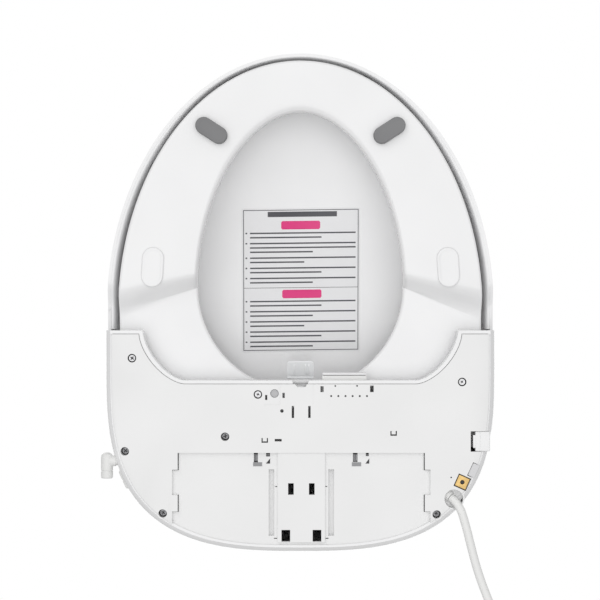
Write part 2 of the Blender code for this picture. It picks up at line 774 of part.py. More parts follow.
def make_upper_housing():
    """The upper housing: one thin moulding of wings, deck, hinge lugs, nozzle hood and hump."""
    body = add("housing_top", mesh_from(loft_bm(low_body_outer()), "housing_top"), WHITE, 35)
    hump_low = DECK_Z - 8 * MM
    lugs = [side_plate_bm(lug_outline(), side * LUG_X, side * (LUG_X + LUG_W)) for side in (1, -1)]
    hood_top = NOZZLE_R + HOOD_CLEAR + HOOD_WALL
    hood = nozzle_bar_bm(9 * MM, 68 * MM, -2 * MM, hood_top, -HOOD_HALF_W, HOOD_HALF_W)
    join(body, "housing_outer", loft_bm(hump_loops(0, hump_low, HUMP_Z)), hood, *lugs)
    cut(body, "low_hollow", loft_bm(low_body_inner()))
    cut(body, "room_for_base", plate_bm(wing_outline(-5 * MM, LIP + GAP), -EPS, BASE_T + GAP / 2))
    cut(body, "hump_hollow", loft_bm(hump_loops(WALL, hump_low - 4 * MM, HUMP_Z - WALL)))
    cut(body, "hood_hollow", nozzle_bar_bm(4 * MM, 90 * MM, -8 * MM, NOZZLE_R + HOOD_CLEAR,
                                           -HOOD_HALF_W + HOOD_WALL, HOOD_HALF_W - HOOD_WALL))
    front_y = WING_FRONT_Y + WING_DEPTH
    openings = [
        box_bm((-13 * MM, front_y - 2 * MM, BASE_T + GAP), (13 * MM, front_y + LIP + 4 * MM, 19.5 * MM)),
        box_bm((DUCT_X0 - GAP, front_y - 2 * MM, DUCT_Z0 - GAP),
               (DUCT_X1 + GAP, front_y + LIP + 2 * MM, DUCT_Z1 + GAP)),
        rod_bm((INLET_X + 2 * MM, INLET_Y, INLET_Z), (INLET_X + 22 * MM, INLET_Y, INLET_Z), STUB_R + GAP),
        box_bm((BUTTON_X - 8 * MM, BUTTON_Y0 - GAP, -EPS),
               (HALF_WIDTH + 4 * MM, BUTTON_Y1 + GAP, BUTTON_Z1 + GAP)),
        channel_bm(-EPS, 12 * MM),
        rod_bm((POWER_X, POWER_Y, HUMP_Z - 8 * MM), (POWER_X, POWER_Y, HUMP_Z + EPS), POWER_R + GAP, sides=28),
    ]
    cut(body, "housing_openings", *openings)
    cut(body, "nozzle_notch", box_bm((-NOTCH_HALF_W, front_y - 2 * MM, -EPS),
                                     (NOTCH_HALF_W, front_y + LIP + GAP, BASE_T + 2 * GAP)))
    cut(body, "window_opening", box_bm((-30 * MM, HINGE_Y, 84 * MM), (30 * MM, HINGE_Y + 44 * MM, 98 * MM)))
    cut(body, "lug_holes", *[
        rod_bm((side * (LUG_X - EPS), HINGE_Y, HINGE_Z), (side * (LUG_X + LUG_W + EPS), HINGE_Y, HINGE_Z),
               PIN_R + PIN_CLEAR, sides=24) for side in (1, -1)])
    return body


SCREWS = (
    (-168.5 * MM, 56.2 * MM), (-175.7 * MM, 149.4 * MM), (-137.8 * MM, 211.6 * MM),
    (161.8 * MM, 80 * MM), (136.4 * MM, 212.6 * MM), (-42.5 * MM, 92.5 * MM), (-75.4 * MM, 134.8 * MM),
)
SCREW_HEAD_R = 3.6 * MM
SCREW_HOLE_R = 4.3 * MM
SCREW_SHANK_R = 1.6 * MM
NUT_X, NUT_Y, NUT_SIDE, NUT_TURN = 162 * MM, 180.3 * MM, 11.7 * MM, math.radians(24)
SERVICE_X, SERVICE_Y, SERVICE_R = -25.9 * MM, 91.5 * MM, 3.9 * MM
DRAIN_X, DRAIN_Y = 173.6 * MM, 168.6 * MM


WINDOW_LEFT = (-46.7, 151.3, -42.6, 161.6)
WINDOW_RIGHT = (52.6, 150.95, 57.3, 160.4)


def recess_bm(z0, z1):
    """The hollow for the mounting plate, with two inward tabs on each side, open at the rear."""
    tab = 5.5 * MM
    rows = ((RECESS_Y, tab), (RECESS_Y + 16.9 * MM, 0), (RECESS_Y + 42.2 * MM, tab), (RECESS_Y + 58.6 * MM, 0))
    end = REAR_MIDDLE_Y + REAR_LENGTH + 10 * MM
    left, right = [], []
    for number, (y, inward) in enumerate(rows):
        y_next = rows[number + 1][0] if number + 1 < len(rows) else end
        left += [(RECESS_LEFT_X + inward, y), (RECESS_LEFT_X + inward, y_next)]
        right += [(RECESS_RIGHT_X - inward, y), (RECESS_RIGHT_X - inward, y_next)]
    return plate_bm(right + list(reversed(left)), z0, z1)


def pan_outline(inset, steps=14):
    """Plan of the raised pan over the recess, following the housing's rear."""
    margin = 2.6 * MM
    x0, x1 = RECESS_LEFT_X - margin, RECESS_RIGHT_X + margin
    points = [(x0, RECESS_Y - margin), (x1, RECESS_Y - margin)]
    for i in range(steps + 1):
        x = x1 + (x0 - x1) * i / steps
        share = abs(x) / (HALF_WIDTH - inset)
        y = REAR_MIDDLE_Y + (REAR_LENGTH - inset) * (1 - share ** REAR_POWER) ** (1 / REAR_POWER)
        points.append((x, y))
    return points


def slot_bm(x0, y0, x1, y1, z0=-EPS, z1=BASE_T + EPS):
    """A straight-sided slot through the base, its corners in millimetres."""
    return box_bm((x0 * MM, y0 * MM, z0), (x1 * MM, y1 * MM, z1))


def make_base():
    """The base: a plate with a sunken pan for the mounting plate, its track, slots and holes."""
    base = add("housing_base", mesh_from(plate_bm(wing_outline(BASE_SIDE_INSET, LIP + SEAM), 0, BASE_T),
                                         "housing_base"), SATIN, 35)
    pan_top = RECESS_DEPTH + WALL
    join(base, "pan", plate_bm(pan_outline(WALL + PAN_STEP), BASE_T - 1 * MM, pan_top))
    join(base, "pan_floor", plate_bm(pan_outline(WALL + PAN_FLOOR_STEP), RECESS_DEPTH, pan_top))
    cut(base, "recess", recess_bm(-EPS, RECESS_DEPTH))
    rear_end = REAR_MIDDLE_Y + REAR_LENGTH - 10.4 * MM
    join(base, "track", box_bm((TRACK_LEFT_X, RECESS_Y - 0.5 * MM, RECESS_DEPTH - TRACK_T),
                               (TRACK_RIGHT_X, rear_end, RECESS_DEPTH + 0.5 * MM)))
    deep = pan_top + EPS
    front = WING_FRONT_Y + WING_DEPTH
    cuts = [rod_bm((x, y, -EPS), (x, y, BASE_T + EPS), SCREW_HOLE_R, sides=20) for x, y in SCREWS]
    cuts += [
        rod_bm((SERVICE_X, SERVICE_Y, -EPS), (SERVICE_X, SERVICE_Y, BASE_T + EPS), SERVICE_R + GAP),
        rod_bm((-18.5 * MM, 109 * MM, -EPS), (-18.5 * MM, 109 * MM, BASE_T + EPS), 1.75 * MM, sides=12),
        slot_bm(-35.3, 93, -33.1, 98), slot_bm(-18, 90.8, -15.6, 96),
        slot_bm(-8.7, 104, -6.3, 116), slot_bm(7.8, 104, 10.2, 116),
        slot_bm(-38.9, 136, -32.4, 140.8), slot_bm(90, 129, 96.5, 133.8),
        slot_bm(-25.7, 137, -18.7, 139.5),
        slot_bm(20, 84.2, 23.3, 90.1), slot_bm(69.7, 83.6, 73.3, 90.1),
        plate_bm([(-8.7 * MM, front), (9 * MM, front), (5.1 * MM, front + LIP + 3.4 * MM),
                  (-3 * MM, front + LIP + 3.4 * MM)], -EPS, BASE_T + EPS),
        box_bm((BUTTON_X - BUTTON_STROKE - 2.5 * MM, BUTTON_Y0 - GAP, -EPS), (HALF_WIDTH, BUTTON_Y1 + GAP, BASE_T + EPS)),
    ]
    cuts += [rod_bm((x * MM, 94.1 * MM, -EPS), (x * MM, 94.1 * MM, BASE_T + EPS), 1 * MM, sides=10)
             for x in (30.8, 37.95, 45.1, 52.25, 59.4, 66.6)]
    cut(base, "base_holes", *cuts)
    turn = Matrix.Rotation(NUT_TURN, 4, "Z")
    half = NUT_SIDE / 2 + 0.9 * MM
    cut(base, "nut_pocket", box_bm((NUT_X - half, NUT_Y - half, -EPS), (NUT_X + half, NUT_Y + half, BASE_T + EPS),
                                   turn))
    cut(base, "cord_pocket", rod_bm((POCKET_X, POCKET_Y, -EPS), (POCKET_X, POCKET_Y, BASE_T + EPS),
                                    POCKET_R, sides=28))
    drain_turn = Matrix.Rotation(math.radians(25), 4, "Z")
    cut(base, "drain_notch", box_bm((DRAIN_X - 4.2 * MM, DRAIN_Y - 7.3 * MM, -EPS),
                                    (DRAIN_X + 4.2 * MM, DRAIN_Y + 7.3 * MM, BASE_T + EPS), drain_turn))
    windows = [
        slot_bm(*WINDOW_LEFT, z1=deep), slot_bm(*WINDOW_RIGHT, z1=deep),
        slot_bm(-34.4, 151.5, -30.4, 155, z1=deep), slot_bm(65.6, 150.95, 68.6, 154.6, z1=deep),
    ]
    for x in (-9.5, 11.4):
        windows.append(slot_bm(x - 2.8, 181.5, x + 2.8, 193.1, z1=deep))
    for x in (-14.6, 16.6):
        windows.append(slot_bm(x - 4.35, 228.2, x + 4.35, 240, z1=deep))
    cut(base, "pan_windows", *windows)
    grooves = [
        box_bm((-31.8 * MM, RECESS_Y + 16.8 * MM, RECESS_DEPTH - EPS),
               (-26.2 * MM, rear_end - 0.8 * MM, RECESS_DEPTH + 1.5 * MM)),
        box_bm((27.9 * MM, RECESS_Y + 16.8 * MM, RECESS_DEPTH - EPS),
               (33.7 * MM, rear_end - 0.8 * MM, RECESS_DEPTH + 1.5 * MM)),
    ]
    cut(base, "grooves", *grooves)
    return base


def make_base_fittings():
    """Screws, plugs and the brass insert in the base."""
    for number, (x, y) in enumerate(SCREWS, 1):
        screw = rod(f"base_screw_{number}", (x, y, 0.9 * MM), (x, y, 2.9 * MM), SCREW_HEAD_R, STEEL, sides=16)
        join(screw, f"screw_shank_{number}",
             rod_bm((x, y, 2.5 * MM), (x, y, 12 * MM), SCREW_SHANK_R, sides=10))
    rod("service_plug", (SERVICE_X, SERVICE_Y, 0.6 * MM), (SERVICE_X, SERVICE_Y, 6 * MM), SERVICE_R, GREY_RUBBER)
    turn = Matrix.Rotation(NUT_TURN, 4, "Z")
    half = NUT_SIDE / 2
    nut = box("brass_insert", (NUT_X - half, NUT_Y - half, 0.6 * MM), (NUT_X + half, NUT_Y + half, BASE_T),
              BRASS, turn=turn)
    join(nut, "insert_barrel", rod_bm((NUT_X, NUT_Y, BASE_T - 1 * MM), (NUT_X, NUT_Y, 10 * MM), 4 * MM, sides=16))
    cut(nut, "insert_hole", rod_bm((NUT_X, NUT_Y, 0), (NUT_X, NUT_Y, 7 * MM), 1.6 * MM, sides=16))
    drain_turn = Matrix.Rotation(math.radians(25), 4, "Z")
    box("drain_plug", (DRAIN_X - 3.7 * MM, DRAIN_Y - 6.8 * MM, 0.8 * MM),
        (DRAIN_X + 3.7 * MM, DRAIN_Y + 6.8 * MM, 3.0 * MM), GREY_RUBBER, bevel=0.8 * MM, turn=drain_turn)


def make_hinges():
    """Hinge pins and the two soft-close dampers."""
    for side, name in ((-1, "left"), (1, "right")):
        rod(f"hinge_pin_{name}", (side * LUG_X, HINGE_Y, HINGE_Z),
            (side * (LID_LUG_X + LID_LUG_W - 1 * MM), HINGE_Y, HINGE_Z), PIN_R, STEEL, sides=24)
        rod(f"soft_close_damper_{name}", (side * (LUG_X - GAP), HINGE_Y, HINGE_Z),
            (side * (LUG_X - 24 * MM), HINGE_Y, HINGE_Z), 9 * MM, SATIN, sides=20)


# ===========================================================================
# Water: inlet, valve, tank, pump, nozzle
# ===========================================================================
def make_water():
    """Water path from the supply inlet to the warm water tank."""
    elbow = rod("inlet_elbow", (INLET_X, INLET_Y - 13 * MM, INLET_Z), (INLET_X, INLET_Y + 13 * MM, INLET_Z),
                INLET_R, SATIN, sides=20)
    join(elbow, "inlet_stub",
         rod_bm((INLET_X, INLET_Y, INLET_Z), (INLET_X + 20 * MM, INLET_Y, INLET_Z), STUB_R, sides=16))
    cut(elbow, "inlet_bore", rod_bm((INLET_X, INLET_Y - 4 * MM, INLET_Z), (INLET_X, INLET_Y + 14 * MM, INLET_Z),
                                    4 * MM, sides=16))
    clip_r = 2.0 * MM
    clip = [(-rear_half_width(y, 0) - clip_r - 1 * MM, y, INLET_Z) for y in (INLET_Y + 14.5 * MM, INLET_Y + 24 * MM)]
    rod("inlet_clip", clip[0], clip[1], clip_r, SATIN, sides=12)
    valve_x = INLET_X + 20 * MM + GAP
    box("inlet_valve", (valve_x, INLET_Y - 11 * MM, 9 * MM), (valve_x + 26 * MM, INLET_Y + 8 * MM, 42 * MM),
        SATIN, bevel=2 * MM)
    tank_x0, tank_x1 = -132 * MM, -34 * MM
    tank_y0, tank_y1 = 158 * MM, 220 * MM
    box("warm_water_tank", (tank_x0, tank_y0, 13 * MM), (tank_x1, tank_y1, 88 * MM), SATIN, bevel=6 * MM)
    route = smooth_route([(valve_x + 26.6 * MM, INLET_Y, 30 * MM), (valve_x + 31 * MM, INLET_Y, 30 * MM),
                          (tank_x0 - 5 * MM, INLET_Y + 4 * MM, 38 * MM),
                          (tank_x0 - 0.8 * MM, INLET_Y + 4 * MM, 38 * MM)], 4 * MM)
    add("supply_hose", mesh_from(tube_bm(route, 3 * MM), "supply_hose"), CLEAR, 40)
    rod("tank_heater", (-83 * MM, 189 * MM, 88.4 * MM), (-83 * MM, 189 * MM, 98 * MM), 12 * MM, STEEL)


def rack_outline(back0, back1, contact):
    """Rack teeth in side view as (back, up) points; a space is centred on the contact point."""
    pitch = math.pi * TOOTH_MODULE
    root = 2.6 * MM
    tip = root + 1.9 * TOOTH_MODULE
    points = [(back0, 0.2 * MM), (back0, root)]
    first = math.ceil((back0 + pitch - contact) / pitch)
    last = math.floor((back1 - pitch - contact) / pitch)
    for i in range(first, last):
        middle = contact + (i + 0.5) * pitch
        points += [(middle - 0.95 * MM, root), (middle - 0.42 * MM, tip),
                   (middle + 0.42 * MM, tip), (middle + 0.95 * MM, root)]
    points += [(back1, root), (back1, 0.2 * MM)]
    return points


def make_nozzle():
    """The telescopic wash nozzle with its rack, pinion, motor and splash shutter."""
    tube = add("nozzle_tube", mesh_from(rod_bm(along_nozzle(14 * MM), along_nozzle(NOZZLE_L), NOZZLE_R, sides=20),
                                        "nozzle_tube"), SATIN, 40)
    tip = add("nozzle_tip", mesh_from(rod_bm(along_nozzle(0), along_nozzle(14 * MM - GAP), NOZZLE_R - 0.8 * MM,
                                             NOZZLE_R, sides=20), "nozzle_tip"), WHITE, 40)
    jets = [rod_bm(along_nozzle(6 * MM + k * 2.4 * MM, 2 * MM), along_nozzle(6 * MM + k * 2.4 * MM, 8 * MM),
                   0.6 * MM, sides=8) for k in range(3)]
    cut(tip, "jets", *jets)
    pinion_r = PINION_TEETH * TOOTH_MODULE / 2
    centre_up = 3.6 * MM + pinion_r
    contact = (PINION_Y - NOZZLE_TIP_Y) / math.cos(NOZZLE_SLOPE)
    rack_x0 = NOZZLE_R + GAP
    loops = []
    for x in (rack_x0, rack_x0 + RACK_W):
        loops.append([tuple(along_nozzle(b, u, x))
                      for b, u in rack_outline(contact - 6 * MM, NOZZLE_L - 0.5 * MM, contact)])
    add("nozzle_rack", mesh_from(loft_bm(loops), "nozzle_rack"), BLACK)
    centre = along_nozzle(contact, centre_up)
    teeth = []
    for i in range(PINION_TEETH):
        base = 2 * math.pi * i / PINION_TEETH
        for offset, r in ((-0.19, 0.80), (-0.07, 1.13), (0.07, 1.13), (0.19, 0.80)):
            a = base + offset
            direction = -NOZZLE_UP * math.cos(a) + NOZZLE_DIR * math.sin(a)
            teeth.append(centre + direction * (r * pinion_r))
    loops = [[tuple(p + Vector((x, 0, 0))) for p in teeth]
             for x in (rack_x0 + 0.2 * MM, rack_x0 + RACK_W - 0.2 * MM)]
    pinion = add("nozzle_pinion", mesh_from(loft_bm(loops), "nozzle_pinion"), SATIN)
    motor_x = rack_x0 + RACK_W + 1.2 * MM
    join(pinion, "pinion_shaft", rod_bm(centre + Vector((rack_x0 + 2 * MM, 0, 0)),
                                        centre + Vector((motor_x - GAP, 0, 0)), 1.5 * MM, sides=12))
    rod("nozzle_motor", centre + Vector((motor_x, 0, 0)), centre + Vector((motor_x + 14 * MM, 0, 0)),
        8.5 * MM, STEEL, sides=24)


SHUTTER_Y = WING_FRONT_Y + WING_DEPTH - 2.4 * MM
SHUTTER_Z = 21 * MM
SHUTTER_L = 21 * MM
SHUTTER_HALF_W = 13.3 * MM
SHUTTER_SLOPE = math.radians(38)
SHUTTER_T = 1.6 * MM


def make_shutter():
    """The ribbed see-through flap that hangs over the nozzle's mouth."""
    down = Vector((0, -math.cos(SHUTTER_SLOPE), -math.sin(SHUTTER_SLOPE)))
    normal = Vector((0, -math.sin(SHUTTER_SLOPE), math.cos(SHUTTER_SLOPE)))
    hinge = Vector((0, SHUTTER_Y, SHUTTER_Z))
    corner = 3 * MM
    outline = [(-SHUTTER_HALF_W, 0), (SHUTTER_HALF_W, 0)]
    for side in (1, -1):
        turns = (0, 30, 60, 90) if side > 0 else (90, 60, 30, 0)
        for degrees in turns:
            a = math.radians(degrees)
            outline.append((side * (SHUTTER_HALF_W - corner + corner * math.cos(a)),
                            SHUTTER_L - corner + corner * math.sin(a)))
    loops = [[tuple(hinge + Vector((x, 0, 0)) + down * d + normal * h) for x, d in outline]
             for h in (-SHUTTER_T / 2, SHUTTER_T / 2)]
    flap = add("nozzle_shutter", mesh_from(loft_bm(loops), "nozzle_shutter"), CLEAR)
    join(flap, "shutter_barrel", rod_bm(hinge - Vector((SHUTTER_HALF_W, 0, 0)),
                                        hinge + Vector((SHUTTER_HALF_W, 0, 0)), 1.7 * MM, sides=14))
    ribs = []
    for x in (-6.4 * MM, 5.2 * MM, 8.6 * MM):
        rib = []
        for side in (-0.7 * MM, 0.7 * MM):
            rib.append([tuple(hinge + Vector((x + side, 0, 0)) + down * d + normal * h)
                        for d, h in ((3 * MM, 0), (18 * MM, 0), (18 * MM, -1.8 * MM), (3 * MM, -1.8 * MM))])
        ribs.append(loft_bm(rib))
    join(flap, "shutter_ribs", *ribs)


# ===========================================================================
# Dryer
# ===========================================================================
FLAP_Y = DUCT_Y0 - 1.6 * MM
FLAP_Z = DUCT_Z1 - 1.4 * MM


def make_dryer():
    """Warm air: blower, fan, motor, duct to the front edge and the outlet flap."""
    duct = box("dryer_duct", (DUCT_X0, DUCT_Y0, DUCT_Z0), (DUCT_X1, DUCT_Y1, DUCT_Z1), SATIN)
    cut(duct, "duct_bore", box_bm((DUCT_X0 + DUCT_WALL, DUCT_Y0 - EPS, DUCT_Z0 + DUCT_WALL),
                                  (DUCT_X1 - DUCT_WALL, DUCT_Y1 + EPS, DUCT_Z1 - DUCT_WALL)))
    flap = box("dryer_flap", (DUCT_X0, FLAP_Y - 0.8 * MM, DUCT_Z0), (DUCT_X1, FLAP_Y + 0.8 * MM, FLAP_Z), CLEAR)
    join(flap, "flap_barrel", rod_bm((DUCT_X0, FLAP_Y, FLAP_Z), (DUCT_X1, FLAP_Y, FLAP_Z), 1.3 * MM, sides=12))
    blower = rod("blower_housing", (FAN_X, FAN_Y, BLOWER_Z0), (FAN_X, FAN_Y, BLOWER_Z1), BLOWER_R, BLACK, sides=32)
    throat_x0, throat_x1 = FAN_X - BLOWER_R + 1 * MM, FAN_X - 5 * MM
    join(blower, "blower_throat", box_bm((throat_x0, DUCT_Y1 + GAP, BLOWER_Z0 + 0.5 * MM),
                                         (throat_x1, FAN_Y - 8 * MM, BLOWER_Z1 - 5 * MM)))
    cut(blower, "blower_hollow", rod_bm((FAN_X, FAN_Y, BLOWER_Z0 + BLOWER_WALL), (FAN_X, FAN_Y, BLOWER_Z1 - BLOWER_WALL),
                                        BLOWER_R - BLOWER_WALL, sides=32))
    cut(blower, "blower_way_out", box_bm((throat_x0 + BLOWER_WALL, DUCT_Y1 - EPS, BLOWER_Z0 + 0.5 * MM + BLOWER_WALL),
                                         (throat_x1 - BLOWER_WALL, FAN_Y - 9 * MM, BLOWER_Z1 - 5 * MM - BLOWER_WALL)))
    cut(blower, "blower_eye", rod_bm((FAN_X, FAN_Y, BLOWER_Z1 - 4 * MM), (FAN_X, FAN_Y, BLOWER_Z1 + EPS),
                                     14 * MM, sides=24))
    fan_z0 = BLOWER_Z0 + BLOWER_WALL + 1.5 * MM
    fan_z1 = BLOWER_Z1 - BLOWER_WALL - 1.5 * MM
    fan = rod("dryer_fan", (FAN_X, FAN_Y, fan_z0), (FAN_X, FAN_Y, fan_z0 + 1.5 * MM), FAN_R, SATIN, sides=24)
    blades = []
    for i in range(12):
        a = 2 * math.pi * i / 12
        middle = Vector((FAN_X + 21 * MM * math.cos(a), FAN_Y + 21 * MM * math.sin(a), 0))
        turn = Matrix.Rotation(a + math.radians(50), 4, "Z")
        blades.append(box_bm(middle + Vector((-4.5 * MM, -0.5 * MM, fan_z0 + 1 * MM)),
                             middle + Vector((4.5 * MM, 0.5 * MM, fan_z1)), turn))
    boolean(fan, tool("fan_blades", blades), "UNION")
    join(fan, "fan_hub", rod_bm((FAN_X, FAN_Y, fan_z0 + 0.5 * MM), (FAN_X, FAN_Y, fan_z1), 6 * MM, sides=16))
    rod("blower_motor", (FAN_X, FAN_Y, BLOWER_Z1 + 6 * MM), (FAN_X, FAN_Y, BLOWER_Z1 + 26 * MM), 13 * MM, STEEL)


# ===========================================================================
# Controls and release
# ===========================================================================
def make_controls():
    """Boards, the receiver window, the power button, and the release button with its bar."""
    box("control_board", (30 * MM, 165 * MM, 94 * MM), (130 * MM, 212 * MM, 95.6 * MM), BOARD)
    box("power_board", (112 * MM, 152 * MM, 44 * MM), (158 * MM, 196 * MM, 45.6 * MM), BOARD)
    window_z0, window_z1 = 84 * MM + GAP, 98 * MM - GAP
    lean = math.tan(HUMP_LEAN)
    face = HINGE_Y + LID_ROUND + 2 * MM
    outline = []
    for z, depth in ((window_z0, 0.3 * MM), (window_z0, WALL), (window_z1, WALL), (window_z1, 0.3 * MM)):
        outline.append((face + (z - HINGE_Z) * lean + depth, z))
    add("receiver_window", mesh_from(side_plate_bm(outline, -30 * MM + GAP, 30 * MM - GAP), "receiver_window"), BLACK)
    button = rod("power_button", (POWER_X, POWER_Y, HUMP_Z - 6 * MM), (POWER_X, POWER_Y, HUMP_Z + 1.2 * MM),
                 POWER_R, SATIN, sides=28)
    round_edges(button, 0.6 * MM, angle=60)
    outer = rear_half_width((BUTTON_Y0 + BUTTON_Y1) / 2, 0) - 1.2 * MM
    box("release_button", (BUTTON_X, BUTTON_Y0, 0.8 * MM), (outer, BUTTON_Y1, BUTTON_Z1), WHITE,
                      bevel=0.8 * MM)
    bar_y0, bar_y1 = RECESS_Y + 2 * MM, RECESS_Y + 9 * MM
    bar_low = RECESS_DEPTH + WALL + 0.8 * MM
    bar = box("release_bar", (-50 * MM, bar_y0, bar_low), (BUTTON_X - GAP, bar_y1, bar_low + 3.7 * MM), BLACK)
    hooks = []
    for window_end in (WINDOW_LEFT[2], WINDOW_RIGHT[2]):
        x1 = window_end * MM - GAP
        hooks.append(box_bm((x1 - 1.2 * MM, bar_y0, RECESS_DEPTH + 0.4 * MM), (x1, bar_y1 - 1 * MM, bar_low + 1.2 * MM)))
    join(bar, "release_hooks", *hooks)


# ===========================================================================
# Supply cord
# ===========================================================================
CORD_ROUTE = [
    CORD_EXIT + CORD_DIR * 2 * GAP, CORD_EXIT + CORD_DIR * 4 * MM,
    Vector((156.4, 201.4, 6.6)) * MM, Vector((160.9, 208.8, 4.6)) * MM, Vector((164.1, 218.5, 4.3)) * MM,
    Vector((167.3, 230, 4.3)) * MM, Vector((170.3, 242, 4.3)) * MM, Vector((173.6, 255, 4.3)) * MM,
    Vector((177.3, 268, 4.3)) * MM, Vector((181.6, 281, 4.3)) * MM, Vector((187.3, 296, 4.3)) * MM,
    Vector((194, 312, 4.3)) * MM, Vector((200.5, 328, 4.3)) * MM, Vector((204.8, 343, 4.3)) * MM,
]


def make_cord():
    """The mains lead: gland, the run along the floor, the coiled spare length and the plug."""
    rod("cord_gland", CORD_EXIT - CORD_DIR * GLAND_L, CORD_EXIT, 6.6 * MM, CORD_SKIN, r_end=5.2 * MM, sides=16)
    add("power_cord", mesh_from(tube_bm(smooth_route(CORD_ROUTE, 2.2 * CORD_D), CORD_D / 2, 10), "power_cord"),
        CORD_SKIN, 60)
    r0, r1 = COIL_R - CORD_D, COIL_R + CORD_D
    soft = 2.5 * MM
    top = 2 * CORD_D
    profile = [(r0 + soft, 0), (r1 - soft, 0), (r1, soft), (r1, top - soft), (r1 - soft, top),
               (r0 + soft, top), (r0, top - soft), (r0, soft)]
    add("cord_coil", mesh_from(turned_bm(profile, (COIL_X, COIL_Y), 28), "cord_coil"), CORD_SKIN, 50)
    lane_y = COIL_Y + COIL_R + CORD_D / 2
    lane_z = 1.5 * CORD_D
    relief_x = COIL_X - 33 * MM
    rod("plug_relief", (relief_x, lane_y, lane_z), (relief_x - 16 * MM, lane_y, lane_z), 5 * MM, CORD_SKIN,
        r_end=7 * MM, sides=14)
    body_x = relief_x - 16 * MM - GAP
    plug = box("plug_body", (body_x - 30 * MM, lane_y - 17 * MM, 0.4 * MM), (body_x, lane_y + 17 * MM, 25 * MM),
               CORD_SKIN)
    round_edges(plug, 4 * MM)
    face = body_x - 30 * MM - GAP
    for name, dy, dz, half_y, half_z in (("line", -6.35, 3, 0.75, 3.2), ("neutral", 6.35, 3, 0.75, 3.2)):
        y, z = lane_y + dy * MM, lane_z + dz * MM
        box(f"plug_blade_{name}", (face - 18 * MM, y - half_y * MM, z - half_z * MM),
            (face, y + half_y * MM, z + half_z * MM), BRASS)
    rod("plug_earth_pin", (face, lane_y, lane_z - 7 * MM), (face - 20 * MM, lane_y, lane_z - 7 * MM), 2.4 * MM, BRASS,
        sides=14)


make_lid()
make_seat()
make_bumpers()
make_upper_housing()
make_base()
make_base_fittings()
make_hinges()
make_water()
make_nozzle()
make_shutter()
make_dryer()
make_controls()
make_cord()
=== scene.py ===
"""Electric bidet seat: the finished look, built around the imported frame.

Everything is in metres in the frame of the part: +Z up, front of the seat towards -Y.
"""

import math

import bmesh
import bpy
from mathutils import Matrix, Vector


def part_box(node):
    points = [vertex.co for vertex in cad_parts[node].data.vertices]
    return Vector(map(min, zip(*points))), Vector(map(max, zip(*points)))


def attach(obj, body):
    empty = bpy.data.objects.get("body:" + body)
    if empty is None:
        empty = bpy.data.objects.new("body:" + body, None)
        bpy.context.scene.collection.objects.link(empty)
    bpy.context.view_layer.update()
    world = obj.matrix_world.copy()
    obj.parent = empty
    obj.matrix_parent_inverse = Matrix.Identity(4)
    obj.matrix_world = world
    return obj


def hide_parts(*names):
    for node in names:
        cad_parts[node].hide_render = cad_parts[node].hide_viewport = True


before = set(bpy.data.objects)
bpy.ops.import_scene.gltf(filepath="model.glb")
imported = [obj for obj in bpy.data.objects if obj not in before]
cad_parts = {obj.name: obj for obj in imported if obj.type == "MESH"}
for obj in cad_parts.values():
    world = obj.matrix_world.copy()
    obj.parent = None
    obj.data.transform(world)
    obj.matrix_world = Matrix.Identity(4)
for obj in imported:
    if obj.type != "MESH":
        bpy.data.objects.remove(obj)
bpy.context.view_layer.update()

MM = 0.001
EPS = 1.0 * MM
GAP = 0.3 * MM

# ---- plan of the housing, the lid and the ring ------------------------------
HALF_WIDTH = 195.5 * MM
LID_FRONT, LID_MIDDLE_Y = 259 * MM, 8 * MM
RING_HALF_WIDTH, RING_FRONT = 183.5 * MM, 253 * MM
RING_MIDDLE_Y, RING_REAR_Y = 10 * MM, 104 * MM
BOWL_HALF_WIDTH, BOWL_FRONT, BOWL_REAR, BOWL_MIDDLE_Y = 104 * MM, 177 * MM, 104.5 * MM, -15 * MM
WING_FRONT_Y, WING_CORNER_X, WING_HOLLOW, WING_DEPTH = 28.5 * MM, 116 * MM, 42.1 * MM, 50 * MM
REAR_MIDDLE_Y, REAR_LENGTH, REAR_POWER = 68 * MM, 183 * MM, 2.9

# ---- heights ------------------------------------------------------------------
DECK_Z, HUMP_Z = 24 * MM, 118 * MM
RING_BOTTOM_Z, RING_TOP_Z = 8 * MM, 46 * MM
OVER_DECK_Z = DECK_Z + 3.5 * MM
LID_RIM_Z, LID_FRONT_SHOULDER_Z = 18 * MM, 38 * MM
HINGE_Y, HINGE_Z = 122 * MM, 66 * MM
LID_ROUND, LID_CROWN, LID_WALL = 20 * MM, 7 * MM, 3 * MM
HUMP_LEAN = math.radians(19)

# ---- walls and seams ----------------------------------------------------------
WALL, LIP, SEAM = 2.5 * MM, 3.2 * MM, 0.4 * MM
BASE_T, BASE_SIDE_INSET = 3 * MM, 6.8 * MM
RECESS_DEPTH, RECESS_Y = 5 * MM, 150.9 * MM
RECESS_LEFT_X, RECESS_RIGHT_X = -128.4 * MM, 130.1 * MM
TRACK_LEFT_X, TRACK_RIGHT_X, TRACK_T = -22.7 * MM, 24.6 * MM, 3 * MM
SPLIT, SHELL = 0.42, 2.4 * MM

# ---- hinge ----------------------------------------------------------------------
PIN_HOLE_R = 5.35 * MM
LUG_R, ARM_R = 11 * MM, 10 * MM
LUG_X, LUG_W = 46 * MM, 14 * MM
ARM_X, ARM_W = 62 * MM, 22 * MM
LID_LUG_X, LID_LUG_W = 86 * MM, 12 * MM

